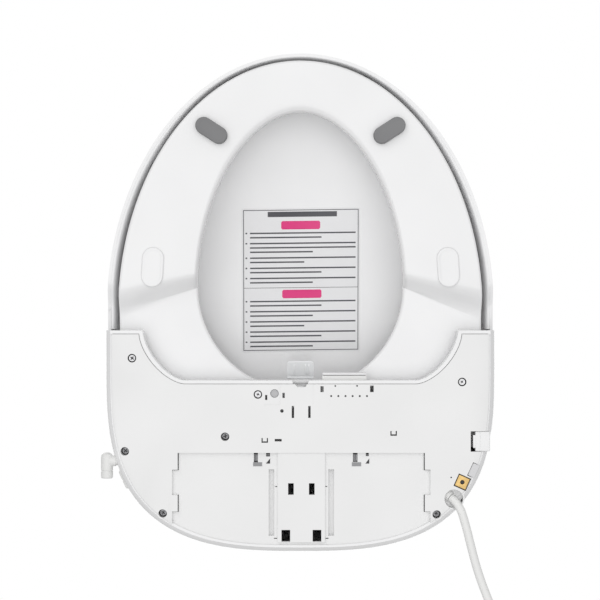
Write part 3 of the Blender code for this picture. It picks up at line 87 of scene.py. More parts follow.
# ---- nozzle, dryer, fittings ------------------------------------------------------
NOZZLE_R = 5.5 * MM
NOZZLE_SLOPE = math.radians(20)
NOZZLE_TIP = Vector((0, 86, 11)) * MM
NOZZLE_DIR = Vector((0, -math.cos(NOZZLE_SLOPE), -math.sin(NOZZLE_SLOPE)))
NOZZLE_UP = Vector((0, -math.sin(NOZZLE_SLOPE), math.cos(NOZZLE_SLOPE)))
HOOD_HALF_W, HOOD_CLEAR, HOOD_WALL = 15.5 * MM, 1.4 * MM, 1.7 * MM
DUCT_X0, DUCT_X1, DUCT_Z0, DUCT_Z1 = 22 * MM, 66.5 * MM, 8.2 * MM, 21.1 * MM
INLET_X, INLET_Y, INLET_Z, STUB_R = -194.9 * MM, 164.5 * MM, 14 * MM, 4.6 * MM
BUTTON_X, BUTTON_Y0, BUTTON_Y1, BUTTON_Z1 = 175 * MM, 129.6 * MM, 149.4 * MM, 19 * MM
BUTTON_STROKE = 2.2 * MM
POWER_X, POWER_Y, POWER_R = 120 * MM, 190 * MM, 7 * MM
SCREWS = ((-168.5, 56.2), (-175.7, 149.4), (-137.8, 211.6), (161.8, 80),
          (136.4, 212.6), (-42.5, 92.5), (-75.4, 134.8))
SCREW_HEAD_R, SCREW_HOLE_R = 3.6 * MM, 4.3 * MM
NUT_X, NUT_Y, NUT_SIDE, NUT_TURN = 162 * MM, 180.3 * MM, 11.7 * MM, math.radians(24)
SERVICE_X, SERVICE_Y, SERVICE_R = -25.9 * MM, 91.5 * MM, 3.9 * MM
DRAIN_X, DRAIN_Y, DRAIN_TURN = 173.6 * MM, 168.6 * MM, math.radians(25)
WINDOW_LEFT = (-46.7, 151.3, -42.6, 161.6)
WINDOW_RIGHT = (52.6, 150.95, 57.3, 160.4)

# ---- supply cord --------------------------------------------------------------------
CORD_D = 8.5 * MM
COIL_X, COIL_Y, COIL_R = 150 * MM, 374 * MM, 46 * MM
CORD_EXIT = Vector((151.0, 196.2, 9.6)) * MM
CORD_DIR = Vector((0.70, 0.58, -0.42)).normalized()
POCKET_X, POCKET_Y, POCKET_R = 153.6 * MM, 197 * MM, 9.5 * MM
CHANNEL_HALF, CHANNEL_DIR = 5.4 * MM, Vector((0.50, 0.866, 0.0)).normalized()


# ====================================================================================
# Camera
# ====================================================================================
CAMERA_FAR = 1.8

eye = bpy.data.cameras.new("camera")
eye.sensor_width = 36
eye.lens = 108
camera = bpy.data.objects.new("camera", eye)
camera.location = (-0.4 * MM, -2 * MM, -CAMERA_FAR)
camera.rotation_euler = (math.pi, 0, 0)
bpy.context.scene.collection.objects.link(camera)
bpy.context.scene.camera = camera


# ====================================================================================
# Materials
# ====================================================================================
def blank_finish(name):
    """A material with its tree, Principled shader and object coordinates."""
    mat = bpy.data.materials.new(name)
    mat.use_nodes = True
    tree = mat.node_tree
    shader = tree.nodes["Principled BSDF"]
    place = tree.nodes.new("ShaderNodeTexCoord")
    return mat, tree, shader, place.outputs["Object"]


def noise(tree, place, scale, detail=3.0, roughness=0.5):
    """A noise pattern in object space; returns its factor."""
    node = tree.nodes.new("ShaderNodeTexNoise")
    node.inputs["Scale"].default_value = scale
    node.inputs["Detail"].default_value = detail
    node.inputs["Roughness"].default_value = roughness
    tree.links.new(place, node.inputs["Vector"])
    return node.outputs["Fac"]


def spread(tree, value, low, high, start=0.3, end=0.7):
    """Maps a pattern's factor between two values."""
    node = tree.nodes.new("ShaderNodeMapRange")
    node.inputs["From Min"].default_value = start
    node.inputs["From Max"].default_value = end
    node.inputs["To Min"].default_value = low
    node.inputs["To Max"].default_value = high
    tree.links.new(value, node.inputs["Value"])
    return node.outputs["Result"]


def tint(tree, value, color_a, color_b):
    """A colour that drifts between two with a pattern's factor."""
    node = tree.nodes.new("ShaderNodeMix")
    node.data_type = "RGBA"
    node.inputs[6].default_value = (*color_a, 1)
    node.inputs[7].default_value = (*color_b, 1)
    tree.links.new(value, node.inputs[0])
    return node.outputs[2]


def bump(tree, height, strength, distance, under=None):
    """A bump from a pattern, over another bump where one is given."""
    node = tree.nodes.new("ShaderNodeBump")
    node.inputs["Strength"].default_value = strength
    node.inputs["Distance"].default_value = distance
    tree.links.new(height, node.inputs["Height"])
    if under is not None:
        tree.links.new(under, node.inputs["Normal"])
    return node.outputs["Normal"]


def moulded(name, color, roughness, grain=2200, grain_depth=0.05, drift=0.015, coat=0.0,
            metallic=0.0, through=0.0, wave=0.05):
    """Moulded plastic or rubber: fine grain, slow waviness of the skin, slight drift of colour."""
    mat, tree, shader, place = blank_finish(name)
    slow = noise(tree, place, 14, 2)
    darker = tuple(max(0.0, c - drift) for c in color)
    lighter = tuple(min(1.0, c + drift) for c in color)
    tree.links.new(tint(tree, spread(tree, slow, 0, 1), darker, lighter), shader.inputs["Base Color"])
    fine = noise(tree, place, grain, 3)
    tree.links.new(spread(tree, noise(tree, place, 55, 4), roughness - 0.04, roughness + 0.05),
                   shader.inputs["Roughness"])
    skin = bump(tree, noise(tree, place, 30, 2), wave, 0.4 * MM)
    tree.links.new(bump(tree, fine, grain_depth, 0.05 * MM, skin), shader.inputs["Normal"])
    shader.inputs["Metallic"].default_value = metallic
    shader.inputs["Coat Weight"].default_value = coat
    shader.inputs["Coat Roughness"].default_value = 0.12
    shader.inputs["Transmission Weight"].default_value = through
    return mat


def machined(name, color, roughness, scratch=(40, 40, 900)):
    """Plated or turned metal with fine lines and a slight tarnish."""
    mat, tree, shader, place = blank_finish(name)
    mapping = tree.nodes.new("ShaderNodeMapping")
    mapping.inputs["Scale"].default_value = scratch
    tree.links.new(place, mapping.inputs["Vector"])
    lines = noise(tree, mapping.outputs["Vector"], 6, 5, 0.6)
    darker = tuple(c * 0.82 for c in color)
    tree.links.new(tint(tree, spread(tree, noise(tree, place, 320, 4), 0, 1), darker, color),
                   shader.inputs["Base Color"])
    tree.links.new(spread(tree, lines, roughness - 0.08, roughness + 0.12), shader.inputs["Roughness"])
    tree.links.new(bump(tree, lines, 0.12, 0.03 * MM), shader.inputs["Normal"])
    shader.inputs["Metallic"].default_value = 1.0
    return mat


WHITE = moulded("gloss_white_plastic", (0.87, 0.87, 0.875), 0.22, grain_depth=0.02, coat=0.35)
LID_WHITE = moulded("lid_white_plastic", (0.87, 0.87, 0.875), 0.18, grain_depth=0.015, coat=0.4)
SATIN = moulded("satin_white_plastic", (0.85, 0.85, 0.85), 0.42, grain=1600, grain_depth=0.12)
NATURAL = moulded("natural_white_plastic", (0.80, 0.80, 0.79), 0.40, grain=1500, grain_depth=0.10)
RUBBER = moulded("grey_rubber", (0.215, 0.215, 0.22), 0.72, grain=1300, grain_depth=0.25, drift=0.02)
PLUG_GREY = moulded("light_grey_rubber", (0.70, 0.70, 0.71), 0.6, grain=1300, grain_depth=0.2)
# Darker copy of the zinc steel, for the screws at the bottom of deep holes: painted shade.
DEEP_SCREW_SHADED_STEEL = machined("deep_screw_shaded_steel", (0.30, 0.30, 0.31), 0.42)
DISC_GREY = moulded("grey_disc_plastic", (0.50, 0.50, 0.51), 0.5, grain=1300, grain_depth=0.2)
# Grey of the release bar; the same grey is the painted shade of the latch windows' foot plates.
BAR_GREY_AND_SHADE = moulded("grey_bar_plastic_and_painted_shade", (0.30, 0.30, 0.31), 0.5, grain=1300, grain_depth=0.2)
CLEAR = moulded("frosted_clear_plastic", (0.90, 0.91, 0.92), 0.34, grain=1800, grain_depth=0.2,
                through=0.04)
# Black plastic of the dampers, rack and blower; the same black is painted shade in the screw recesses, round
# the brass insert, in its bore and in the latch windows' triangles.
BLACK_AND_SHADE = moulded("black_plastic", (0.025, 0.025, 0.027), 0.45, grain=1700, grain_depth=0.15, drift=0.006)
SMOKED = moulded("smoked_window", (0.018, 0.016, 0.018), 0.10, grain_depth=0.01, drift=0.004, coat=0.8)
BOARD = moulded("circuit_board", (0.04, 0.22, 0.09), 0.42, grain=900, grain_depth=0.2, drift=0.03)
CORD_SKIN = moulded("white_cord_jacket", (0.86, 0.86, 0.85), 0.46, grain=1500, grain_depth=0.14)
STEEL = machined("zinc_steel", (0.62, 0.62, 0.63), 0.32)
BRASS = machined("brass", (0.66, 0.46, 0.19), 0.36)
COPPER = machined("heater_foil", (0.72, 0.44, 0.30), 0.36)
PAPER = moulded("label_paper", (0.83, 0.83, 0.84), 0.5, grain=900, grain_depth=0.08, drift=0.01)
PRINT = moulded("label_print", (0.08, 0.08, 0.09), 0.55, drift=0.02)
PINK = moulded("label_pink", (0.78, 0.035, 0.22), 0.5, drift=0.02)


# ====================================================================================
# Shape helpers
# ====================================================================================
def closed_bm(bm):
    """Makes a bmesh's faces point outwards."""
    bmesh.ops.recalc_face_normals(bm, faces=bm.faces)
    return bm


def piece(name, bm, mat, smooth=35, body="housing", stands_for=()):
    """A finished piece in the scene: material, body, material slot and the nodes it stands for."""
    mesh = mesh_of(bm, name)
    obj = new_object(name, mesh)
    mesh.materials.append(mat)
    mesh.shade_smooth()
    mesh.set_sharp_from_angle(angle=math.radians(smooth))
    return settle(obj, body, stands_for)


def settle(obj, body, stands_for=()):
    """Puts a piece on its body."""
    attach(obj, body)
    if stands_for:
        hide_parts(*stands_for)
    return obj


def mesh_of(bm, name="work"):
    """A bmesh as a plain mesh."""
    mesh = bpy.data.meshes.new(name)
    bm.to_mesh(mesh)
    bm.free()
    return mesh


def merge(bodies):
    """Several closed bodies in one bmesh."""
    whole = bmesh.new()
    for body in bodies:
        scratch = mesh_of(closed_bm(body))
        whole.from_mesh(scratch)
        bpy.data.meshes.remove(scratch)
    return whole


def new_object(name, mesh):
    """A new object that shows a mesh."""
    obj = bpy.data.objects.new(name, mesh)
    bpy.context.scene.collection.objects.link(obj)
    return obj


def discard(obj):
    """Removes an object and its mesh."""
    mesh = obj.data
    bpy.data.objects.remove(obj, do_unlink=True)
    bpy.data.meshes.remove(mesh)


def evaluated(bm, setup):
    """The bmesh after the modifiers that setup adds to it."""
    work = new_object("work", mesh_of(bm))
    setup(work)
    bpy.context.view_layer.update()
    shape = work.evaluated_get(bpy.context.evaluated_depsgraph_get())
    mesh = bpy.data.meshes.new_from_object(shape)
    result = bmesh.new()
    result.from_mesh(mesh)
    discard(work)
    bpy.data.meshes.remove(mesh)
    return result


def combined(bm, operation, *bodies):
    """The bmesh after a boolean with other bodies, all at once; they don't overlap each other."""
    other = new_object("other", mesh_of(merge(bodies)))

    def setup(work):
        mod = work.modifiers.new("boolean", "BOOLEAN")
        mod.operation = operation
        mod.object = other
        mod.solver = "EXACT"

    result = evaluated(bm, setup)
    discard(other)
    return result


def joined(bm, *bodies):
    """Joins bodies one after the other, so that they may overlap."""
    for body in bodies:
        bm = combined(bm, "UNION", body)
    return bm


def carved(bm, *bodies):
    """Cuts bodies away."""
    return combined(bm, "DIFFERENCE", *bodies)


def bevel(work, width, segments, angle):
    """Adds a rounding of the edges sharper than an angle in degrees."""
    mod = work.modifiers.new("rounding", "BEVEL")
    mod.width = width
    mod.segments = segments
    mod.limit_method = "ANGLE"
    mod.angle_limit = math.radians(angle)


def rounded(bm, width, segments=3, angle=40):
    """The bmesh with its sharp edges rounded."""
    return evaluated(bm, lambda work: bevel(work, width, segments, angle))


def box_bm(low, high, turn=None):
    """A box between two corners; turn is a matrix about its own centre."""
    low, high = Vector(low), Vector(high)
    bm = bmesh.new()
    bmesh.ops.create_cube(bm, size=1.0)
    bmesh.ops.scale(bm, vec=high - low, verts=bm.verts)
    if turn is not None:
        bmesh.ops.transform(bm, matrix=turn, verts=bm.verts)
    bmesh.ops.translate(bm, vec=(low + high) / 2, verts=bm.verts)
    return closed_bm(bm)


def rod_bm(start, end, r_start, r_end=None, sides=40):
    """A round rod or cone between two points."""
    start, end = Vector(start), Vector(end)
    along = end - start
    bm = bmesh.new()
    bmesh.ops.create_cone(bm, cap_ends=True, segments=sides, radius1=r_start,
                          radius2=r_start if r_end is None else r_end, depth=along.length)
    turn = along.to_track_quat("Z", "Y").to_matrix().to_4x4()
    bmesh.ops.transform(bm, matrix=Matrix.Translation((start + end) / 2) @ turn, verts=bm.verts)
    return closed_bm(bm)


def turned_bm(start, end, profile, sides=40):
    """A turned solid between two points: profile is a list of (distance, radius), radius 0 at poles."""
    start, end = Vector(start), Vector(end)
    along = (end - start).normalized()
    side = along.orthogonal().normalized()
    up = along.cross(side)
    bm = bmesh.new()
    rows = []
    for distance, radius in profile:
        centre = start + along * distance
        if radius == 0:
            rows.append([bm.verts.new(centre)])
            continue
        rows.append([bm.verts.new(centre + (side * math.cos(a) + up * math.sin(a)) * radius)
                     for a in (2 * math.pi * i / sides for i in range(sides))])
    for low, high in zip(rows, rows[1:]):
        for i in range(sides):
            j = (i + 1) % sides
            corners = [low[i % len(low)], low[j % len(low)], high[j % len(high)], high[i % len(high)]]
            bm.faces.new(list(dict.fromkeys(corners)))
    for row in (rows[0], rows[-1]):
        if len(row) > 1:
            bm.faces.new(row)
    return closed_bm(bm)


def loft_bm(loops, capped=True):
    """A skin through closed loops of equal length."""
    bm = bmesh.new()
    rows = [[bm.verts.new(point) for point in loop] for loop in loops]
    count = len(rows[0])
    for low, high in zip(rows, rows[1:]):
        for i in range(count):
            j = (i + 1) % count
            bm.faces.new((low[i], low[j], high[j], high[i]))
    if capped:
        bm.faces.new(list(reversed(rows[0])))
        bm.faces.new(rows[-1])
    return closed_bm(bm)


def hoop_bm(sections):
    """A closed hoop of sections."""
    bm = bmesh.new()
    rows = [[bm.verts.new(point) for point in section] for section in sections]
    rows.append(rows[0])
    count = len(rows[0])
    for here, there in zip(rows, rows[1:]):
        for i in range(count):
            j = (i + 1) % count
            bm.faces.new((here[i], here[j], there[j], there[i]))
    return closed_bm(bm)


def plate_bm(outline, z0, z1):
    """A flat plate of a closed plan outline."""
    return loft_bm([[(x, y, z0) for x, y in outline], [(x, y, z1) for x, y in outline]])


def side_plate_bm(outline, x0, x1):
    """A flat plate of a closed outline in the YZ plane."""
    return loft_bm([[(x0, y, z) for y, z in outline], [(x1, y, z) for y, z in outline]])


def superellipse(a, b, power, angle):
    """A point on a superellipse."""
    c, s = math.cos(angle), math.sin(angle)
    return (math.copysign(abs(c) ** (2 / power), c) * a,
            math.copysign(abs(s) ** (2 / power), s) * b)


def ease(value, start, end):
    """0 before start, 1 after end, smooth between."""
    t = min(1.0, max(0.0, (value - start) / (end - start)))
    return t * t * (3 - 2 * t)


def smooth_route(points, step):
    """Points every step along a smooth curve through the given points."""
    places = [Vector(p) for p in points]
    places = [2 * places[0] - places[1]] + places + [2 * places[-1] - places[-2]]
    route = []
    for p0, p1, p2, p3 in zip(places, places[1:], places[2:], places[3:]):
        pieces = max(1, round((p2 - p1).length / step))
        for i in range(pieces):
            t = i / pieces
            route.append(0.5 * (2 * p1 + (p2 - p0) * t + (2 * p0 - 5 * p1 + 4 * p2 - p3) * t ** 2
                                + (3 * p1 - p0 - 3 * p2 + p3) * t ** 3))
    route.append(places[-2])
    return route


def even_angles(outline, count, fine=2880):
    """Angles at which points are evenly spaced along a plan outline."""
    angles = [2 * math.pi * i / fine for i in range(fine + 1)]
    places = [Vector(outline(angle)) for angle in angles]
    run = [0.0]
    for here, there in zip(places, places[1:]):
        run.append(run[-1] + (there - here).length)
    chosen, at = [], 0
    for i in range(count):
        goal = run[-1] * i / count
        while run[at] < goal:
            at += 1
        chosen.append(angles[at])
    return chosen


# ====================================================================================
# Supply cord: the run along the floor, the coiled spare length and the plug
# ====================================================================================
CORD_ROUTE = [
    CORD_EXIT + CORD_DIR * 0.6 * MM, CORD_EXIT + CORD_DIR * 4 * MM,
    Vector((156.4, 201.4, 6.6)) * MM, Vector((160.9, 208.8, 4.6)) * MM, Vector((164.1, 218.5, 4.3)) * MM,
    Vector((167.3, 230, 4.3)) * MM, Vector((170.3, 242, 4.3)) * MM, Vector((173.6, 255, 4.3)) * MM,
    Vector((177.3, 268, 4.3)) * MM, Vector((181.6, 281, 4.3)) * MM, Vector((187.3, 296, 4.3)) * MM,
    Vector((194, 312, 4.3)) * MM, Vector((200.5, 328, 4.3)) * MM,
]
LOW_Z, HIGH_Z = CORD_D / 2 + 0.05 * MM, CORD_D * 1.5 + 0.1 * MM
INNER_R, OUTER_R = COIL_R - CORD_D / 2, COIL_R + CORD_D / 2


def coil_point(degrees):
    """The coil at an angle along its winding: in at the right, out at the back."""
    radius = OUTER_R - (OUTER_R - INNER_R) * ease(degrees, 285, 350) \
        + (OUTER_R - INNER_R) * ease(degrees, 900, 965)
    height = LOW_Z + (HIGH_Z - LOW_Z) * ease(degrees, 600, 668)
    a = math.radians(degrees)
    return Vector((COIL_X + radius * math.cos(a), COIL_Y + radius * math.sin(a), height))


PLUG_GIRTH = ((0, 0.80), (0.03, 0.90), (0.08, 0.955), (0.16, 0.985), (0.3, 1), (0.5, 1), (0.62, 0.97),
              (0.74, 0.90), (0.85, 0.83), (0.93, 0.79), (0.98, 0.75), (1, 0.68))


def make_plug():
    """The mains plug, its relief, blades and earth pin."""
    low, high = (Vector(corner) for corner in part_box("plug_body"))
    middle = (low + high) / 2
    loops = []
    across, tall = (high.y - low.y) / 2, (high.z - low.z) / 2
    for share, scale in PLUG_GIRTH:
        x = low.x + (high.x - low.x) * share
        loop = []
        for i in range(64):
            y, z = superellipse(across * scale, tall * scale, 4, 2 * math.pi * i / 64)
            loop.append((x, middle.y + y, middle.z + z))
        loops.append(loop)
    bm = loft_bm(loops)
    ridges = [box_bm((low.x + (9 + 3.2 * k) * MM, y0, middle.z - 4.5 * MM),
                     (low.x + (10.4 + 3.2 * k) * MM, y1, middle.z + 4.5 * MM))
              for y0, y1 in ((low.y - EPS, low.y + 0.9 * MM), (high.y - 0.9 * MM, high.y + EPS))
              for k in range(4)]
    bm = carved(bm, *ridges)
    piece("plug_grip", bm, CORD_SKIN, 36, "housing", ["plug_body"])
    low, high = (Vector(corner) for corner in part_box("plug_relief"))
    middle = (low + high) / 2
    length = high.x - low.x
    profile = [(0, 0), (0, 4.5 * MM), (0.4 * MM, 4.9 * MM)]
    for k in range(4):
        at = (1.6 + 3.4 * k) * MM
        radius = (5 + 2 * at / length) * MM
        profile += [(at, radius), (at + 0.3 * MM, radius - 0.5 * MM), (at + 1.3 * MM, radius - 0.4 * MM),
                    (at + 1.6 * MM, radius + 0.15 * MM)]
    profile += [(length - 0.4 * MM, 6.9 * MM), (length, 6.6 * MM), (length, 0)]
    piece("plug_taper", turned_bm((high.x, middle.y, middle.z), (low.x, middle.y, middle.z), profile, 40),
          CORD_SKIN, 36, "housing", ["plug_relief"])
    for name in ("line", "neutral"):
        low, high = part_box(f"plug_blade_{name}")
        piece(f"blade_{name}", rounded(box_bm(low, high), 0.5 * MM, 3), BRASS, 36, "housing",
              [f"plug_blade_{name}"])
    low, high = (Vector(corner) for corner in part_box("plug_earth_pin"))
    middle = (low + high) / 2
    length = high.x - low.x
    profile = [(0, 0), (0, 2.4 * MM), (length - 2.4 * MM, 2.4 * MM), (length - 1.2 * MM, 2.1 * MM),
               (length - 0.3 * MM, 1.2 * MM), (length, 0)]
    piece("earth_pin", turned_bm((high.x, middle.y, middle.z), (low.x, middle.y, middle.z), profile, 32),
          BRASS, 36, "housing", ["plug_earth_pin"])


def make_cord():
    """The mains lead as one curve."""
    winding = [coil_point(d) for d in range(0, 1171, 6)]
    lead_in = [Vector((203.9, 343, 4.3)) * MM, Vector((202.8, 357, 4.3)) * MM]
    lead_out = [winding[-1] + Vector((-k * 8, 0, 0)) * MM for k in (1, 2, 3)]
    lead_out.append(Vector((COIL_X - 32 * MM, winding[-1].y, winding[-1].z)))
    run = smooth_route(CORD_ROUTE + lead_in + winding[:3], 3 * MM)
    route = run[:-1] + winding[2:] + lead_out
    data = bpy.data.curves.new("mains_lead", "CURVE")
    data.dimensions = "3D"
    data.bevel_depth = CORD_D / 2
    data.bevel_resolution = 5
    data.use_fill_caps = True
    data.render_resolution_u = 0
    spline = data.splines.new("POLY")
    spline.points.add(len(route) - 1)
    for point, at in zip(spline.points, route):
        point.co = (*at, 1.0)
    spline.use_smooth = True
    obj = bpy.data.objects.new("mains_lead", data)
    bpy.context.scene.collection.objects.link(obj)
    data.materials.append(CORD_SKIN)
    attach(obj, "housing")
    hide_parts("power_cord", "cord_coil")


make_plug()
make_cord()


# ====================================================================================
# Plan outlines
# ====================================================================================
def wing_outline(side_inset, front_inset, steps=26, rear_steps=110):
    """The housing's plan: wings, the hollow between them, sides and rear."""
    half = HALF_WIDTH - side_inset
    front = WING_FRONT_Y + front_inset
    hollow = WING_HOLLOW + front_inset
    points = []
    for i in range(rear_steps + 1):
        x, y = superellipse(half, REAR_LENGTH - side_inset, REAR_POWER, math.pi * i / rear_steps)
        points.append((x, REAR_MIDDLE_Y + y))
    points.append((-half, front))
    left = []
    for i in range(steps + 1):
        x, y = superellipse(hollow, WING_DEPTH, 1.6, math.pi / 2 * i / steps)
        left.append((-WING_CORNER_X - x, front + y))
    points += left
    points += [(-x, y) for x, y in reversed(left)]
    points.append((half, front))
    return points


def hump_outline(front_y, inset, corner, steps=90):
    """The raised rear of the housing: a straight front edge and the housing's own rear."""
    length = REAR_LENGTH - inset
    start = math.asin(min(0.999, ((front_y + corner - REAR_MIDDLE_Y) / length) ** (REAR_POWER / 2)))
    points = []
    for i in range(steps + 1):
        angle = start + (math.pi - 2 * start) * i / steps
        x, y = superellipse(HALF_WIDTH - inset, length, REAR_POWER, angle)
        points.append((x, REAR_MIDDLE_Y + y))
    half = points[0][0]
    left = []
    for degrees in range(10, 91, 10):
        a = math.radians(degrees)
        left.append((-half + corner * (1 - math.cos(a)), front_y + corner * (1 - math.sin(a))))
    points += left
    points += [(-x, y) for x, y in reversed(left)]
    return points


def lid_outline(inset, angle):
    """The lid's plan at an angle."""
    if math.sin(angle) < 0:
        x, y = superellipse(HALF_WIDTH - inset, LID_FRONT - inset, 2, angle)
    else:
        rear = HINGE_Y + LID_ROUND - LID_MIDDLE_Y
        x, y = superellipse(HALF_WIDTH - inset, rear - inset, 8, angle)
    return x, LID_MIDDLE_Y + y


def ring_outline(angle):
    """The seat ring's outer edge in plan."""
    if math.sin(angle) < 0:
        x, y = superellipse(RING_HALF_WIDTH, RING_FRONT, 2, angle)
    else:
        x, y = superellipse(RING_HALF_WIDTH, RING_REAR_Y - RING_MIDDLE_Y, 5, angle)
    return Vector((x, RING_MIDDLE_Y + y))


def bowl_outline(angle):
    """The opening of the seat ring in plan."""
    if math.sin(angle) < 0:
        x, y = superellipse(BOWL_HALF_WIDTH, BOWL_FRONT, 1.9, angle)
    else:
        x, y = superellipse(BOWL_HALF_WIDTH, BOWL_REAR, 2, angle)
    return Vector((x, BOWL_MIDDLE_Y + y))


# ====================================================================================
# Lid
# ====================================================================================
def lid_shoulder_z(y):
    """Height at which the lid's rounded edge begins."""
    front = LID_MIDDLE_Y - LID_FRONT
    share = min(1.0, max(0.0, (y - front) / (HINGE_Y - front)))
    return LID_FRONT_SHOULDER_Z + (HINGE_Z - LID_FRONT_SHOULDER_Z) * share


def lid_rim_z(y):
    """Height of the lid's lower rim: it steps up over the housing's wings."""
    over_wings = OVER_DECK_Z + 3 * MM
    return LID_RIM_Z + (over_wings - LID_RIM_Z) * ease(y, WING_FRONT_Y - 50 * MM, WING_FRONT_Y - 22 * MM)


def lid_loops(count=176):
    """The lid's outer skin from the rim up over the rounded edge to the crown."""
    loops = []
    stations = even_angles(lambda angle: lid_outline(0, angle), count)
    levels = [(wall / 4, 0) for wall in range(4)] + [(1, 90 * i / 10) for i in range(11)]
    back_open = 15
    for wall, degrees in levels:
        progress = wall / 3 + degrees / 90 * 2 / 3
        loop = []
        for angle in stations:
            y_edge = lid_outline(0, angle)[1]
            back = ease(y_edge, HINGE_Y - 22 * MM, HINGE_Y + 13 * MM)
            rear_degrees = back_open + (90 - back_open) * progress
            phi = math.radians(degrees * (1 - back) + rear_degrees * back)
            x, y = lid_outline(LID_ROUND * (1 - math.cos(phi)), angle)
            shoulder = lid_shoulder_z(y_edge)
            drop = (shoulder - lid_rim_z(y_edge)) * (1 - wall) * (1 - back)
            loop.append((x, y, shoulder - drop + LID_ROUND * math.sin(phi)))
        loops.append(loop)
    for share in (0.93, 0.84, 0.72, 0.58, 0.44, 0.3, 0.17, 0.06):
        loop = []
        for angle in stations:
            x, y = lid_outline(LID_ROUND, angle)
            x, y = x * share, LID_MIDDLE_Y + (y - LID_MIDDLE_Y) * share
            loop.append((x, y, lid_shoulder_z(y) + LID_ROUND + LID_CROWN * (1 - share ** 2)))
        loops.append(loop)
    return loops


def lid_inner_z(x, y):
    """Height of the lid's inner face over a place in front of the hinge."""
    across = HALF_WIDTH - LID_ROUND
    along = LID_FRONT - LID_ROUND if y < LID_MIDDLE_Y else HINGE_Y - LID_MIDDLE_Y
    power = 2 if y < LID_MIDDLE_Y else 8
    share = (abs(x / across) ** power + abs((y - LID_MIDDLE_Y) / along) ** power) ** (1 / power)
    return lid_shoulder_z(y) + LID_ROUND + LID_CROWN * (1 - share ** 2) - LID_WALL * 1.012


LID_RIM_R = 0.9 * MM


def wall_and_round(work):
    """Gives the lid's skin its wall and rounds the rim."""
    wall = work.modifiers.new("wall", "SOLIDIFY")
    wall.thickness = LID_WALL
    wall.offset = -1
    wall.use_even_offset = True
    bevel(work, LID_RIM_R, 3, 50)


RIM_REACH_SIDE, RIM_REACH_FRONT = 9.6 * MM, 5.8 * MM
RIM_START = 1.6 * MM
RIM_PROFILE = ((0.0, 0.4), (0.42, 0.4), (0.5, 0.9), (0.64, 3.5), (0.78, 8), (0.9, 14), (1.0, 21),
               (0.9, 23), (0.0, 24))


def rim_band_bm():
    """The thick inner face of the lid's rim, leaning in towards the ring."""
    sections = []
    steps = 150
    places = [(Vector((-HALF_WIDTH, WING_FRONT_Y - 1 * MM)), Vector((0, -1))),
              (Vector((-HALF_WIDTH, LID_MIDDLE_Y + 5 * MM)), Vector((0, -1)))]
    for i in range(steps + 1):
        angle = math.radians(180 + 180 * i / steps)
        here, ahead = (Vector(lid_outline(0, angle + d)) for d in (-0.002, 0.002))
        places.append((Vector(lid_outline(0, angle)), (ahead - here).normalized()))
    places += [(Vector((HALF_WIDTH, LID_MIDDLE_Y + 5 * MM)), Vector((0, 1))),
               (Vector((HALF_WIDTH, WING_FRONT_Y - 1 * MM)), Vector((0, 1)))]
    for here, along in places:
        inward = Vector((-along.y, along.x))
        if inward.dot(Vector((0, LID_MIDDLE_Y)) - here) < 0:
            inward = -inward
        front = ease(-here.y, 150 * MM, 250 * MM)
        reach = RIM_REACH_SIDE + (RIM_REACH_FRONT - RIM_REACH_SIDE) * front
        z0 = lid_rim_z(here.y)
        section = []
        for share, height in RIM_PROFILE:
            inset = RIM_START + (reach - RIM_START) * share
            section.append((here.x + inward.x * inset, here.y + inward.y * inset, z0 + height * MM))
        sections.append(section)
    return loft_bm(sections)


def make_lid():
    """The domed lid with its two hinge lugs, and the band inside its rim."""
    loops = lid_loops()
    bm = loft_bm(loops, capped=False)
    bm.verts.ensure_lookup_table()
    bm.faces.new(bm.verts[-len(loops[0]):])
    closed_bm(bm)
    crown = max(bm.faces, key=lambda f: f.calc_center_median().z)
    if crown.normal.z < 0:
        bmesh.ops.reverse_faces(bm, faces=bm.faces)
    bm = evaluated(bm, wall_and_round)
    reach = LID_ROUND - LID_WALL / 2
    for side in (1, -1):
        x0, x1 = side * LID_LUG_X, side * (LID_LUG_X + LID_LUG_W)
        web = box_bm((min(x0, x1), HINGE_Y - 7 * MM, HINGE_Z),
                     (max(x0, x1), HINGE_Y + 6 * MM, HINGE_Z + reach * 0.95))
        bm = joined(bm, web, rod_bm((x0, HINGE_Y, HINGE_Z), (x1, HINGE_Y, HINGE_Z), ARM_R))
    bm = carved(bm, *[rod_bm((side * (LID_LUG_X - EPS), HINGE_Y, HINGE_Z),
                             (side * (LID_LUG_X + LID_LUG_W + EPS), HINGE_Y, HINGE_Z), PIN_HOLE_R)
                      for side in (1, -1)])
    piece("lid", bm, LID_WHITE, 38, "lid", ["lid_shell"])
    piece("lid_rim_band", rim_band_bm(), LID_WHITE, 50, "lid")


def sheet_on_lid(x0, y0, x1, y1, low, high, tilt=0.0, step=8 * MM):
    """A thin closed plate that follows the lid's inner face, between two distances below it."""
    across, along = max(1, round((x1 - x0) / step)), max(1, round((y1 - y0) / step))
    bm = bmesh.new()
    layers = []
    for depth in (low, high):
        rows = []
        for j in range(along + 1):
            row = []
            for i in range(across + 1):
                x = x0 + (x1 - x0) * i / across
                y = y0 + (y1 - y0) * j / along + tilt * x
                row.append(bm.verts.new((x, y, lid_inner_z(x, y) - depth)))
            rows.append(row)
        layers.append(rows)
    for rows in layers:
        for j in range(along):
            for i in range(across):
                bm.faces.new((rows[j][i], rows[j][i + 1], rows[j + 1][i + 1], rows[j + 1][i]))
    low_rows, high_rows = layers
    edge = [(0, i) for i in range(across)] + [(j, across) for j in range(along)] \
        + [(along, i) for i in range(across, 0, -1)] + [(j, 0) for j in range(along, 0, -1)]
    for (j0, i0), (j1, i1) in zip(edge, edge[1:] + edge[:1]):
        bm.faces.new((low_rows[j0][i0], low_rows[j1][i1], high_rows[j1][i1], high_rows[j0][i0]))
    return closed_bm(bm)


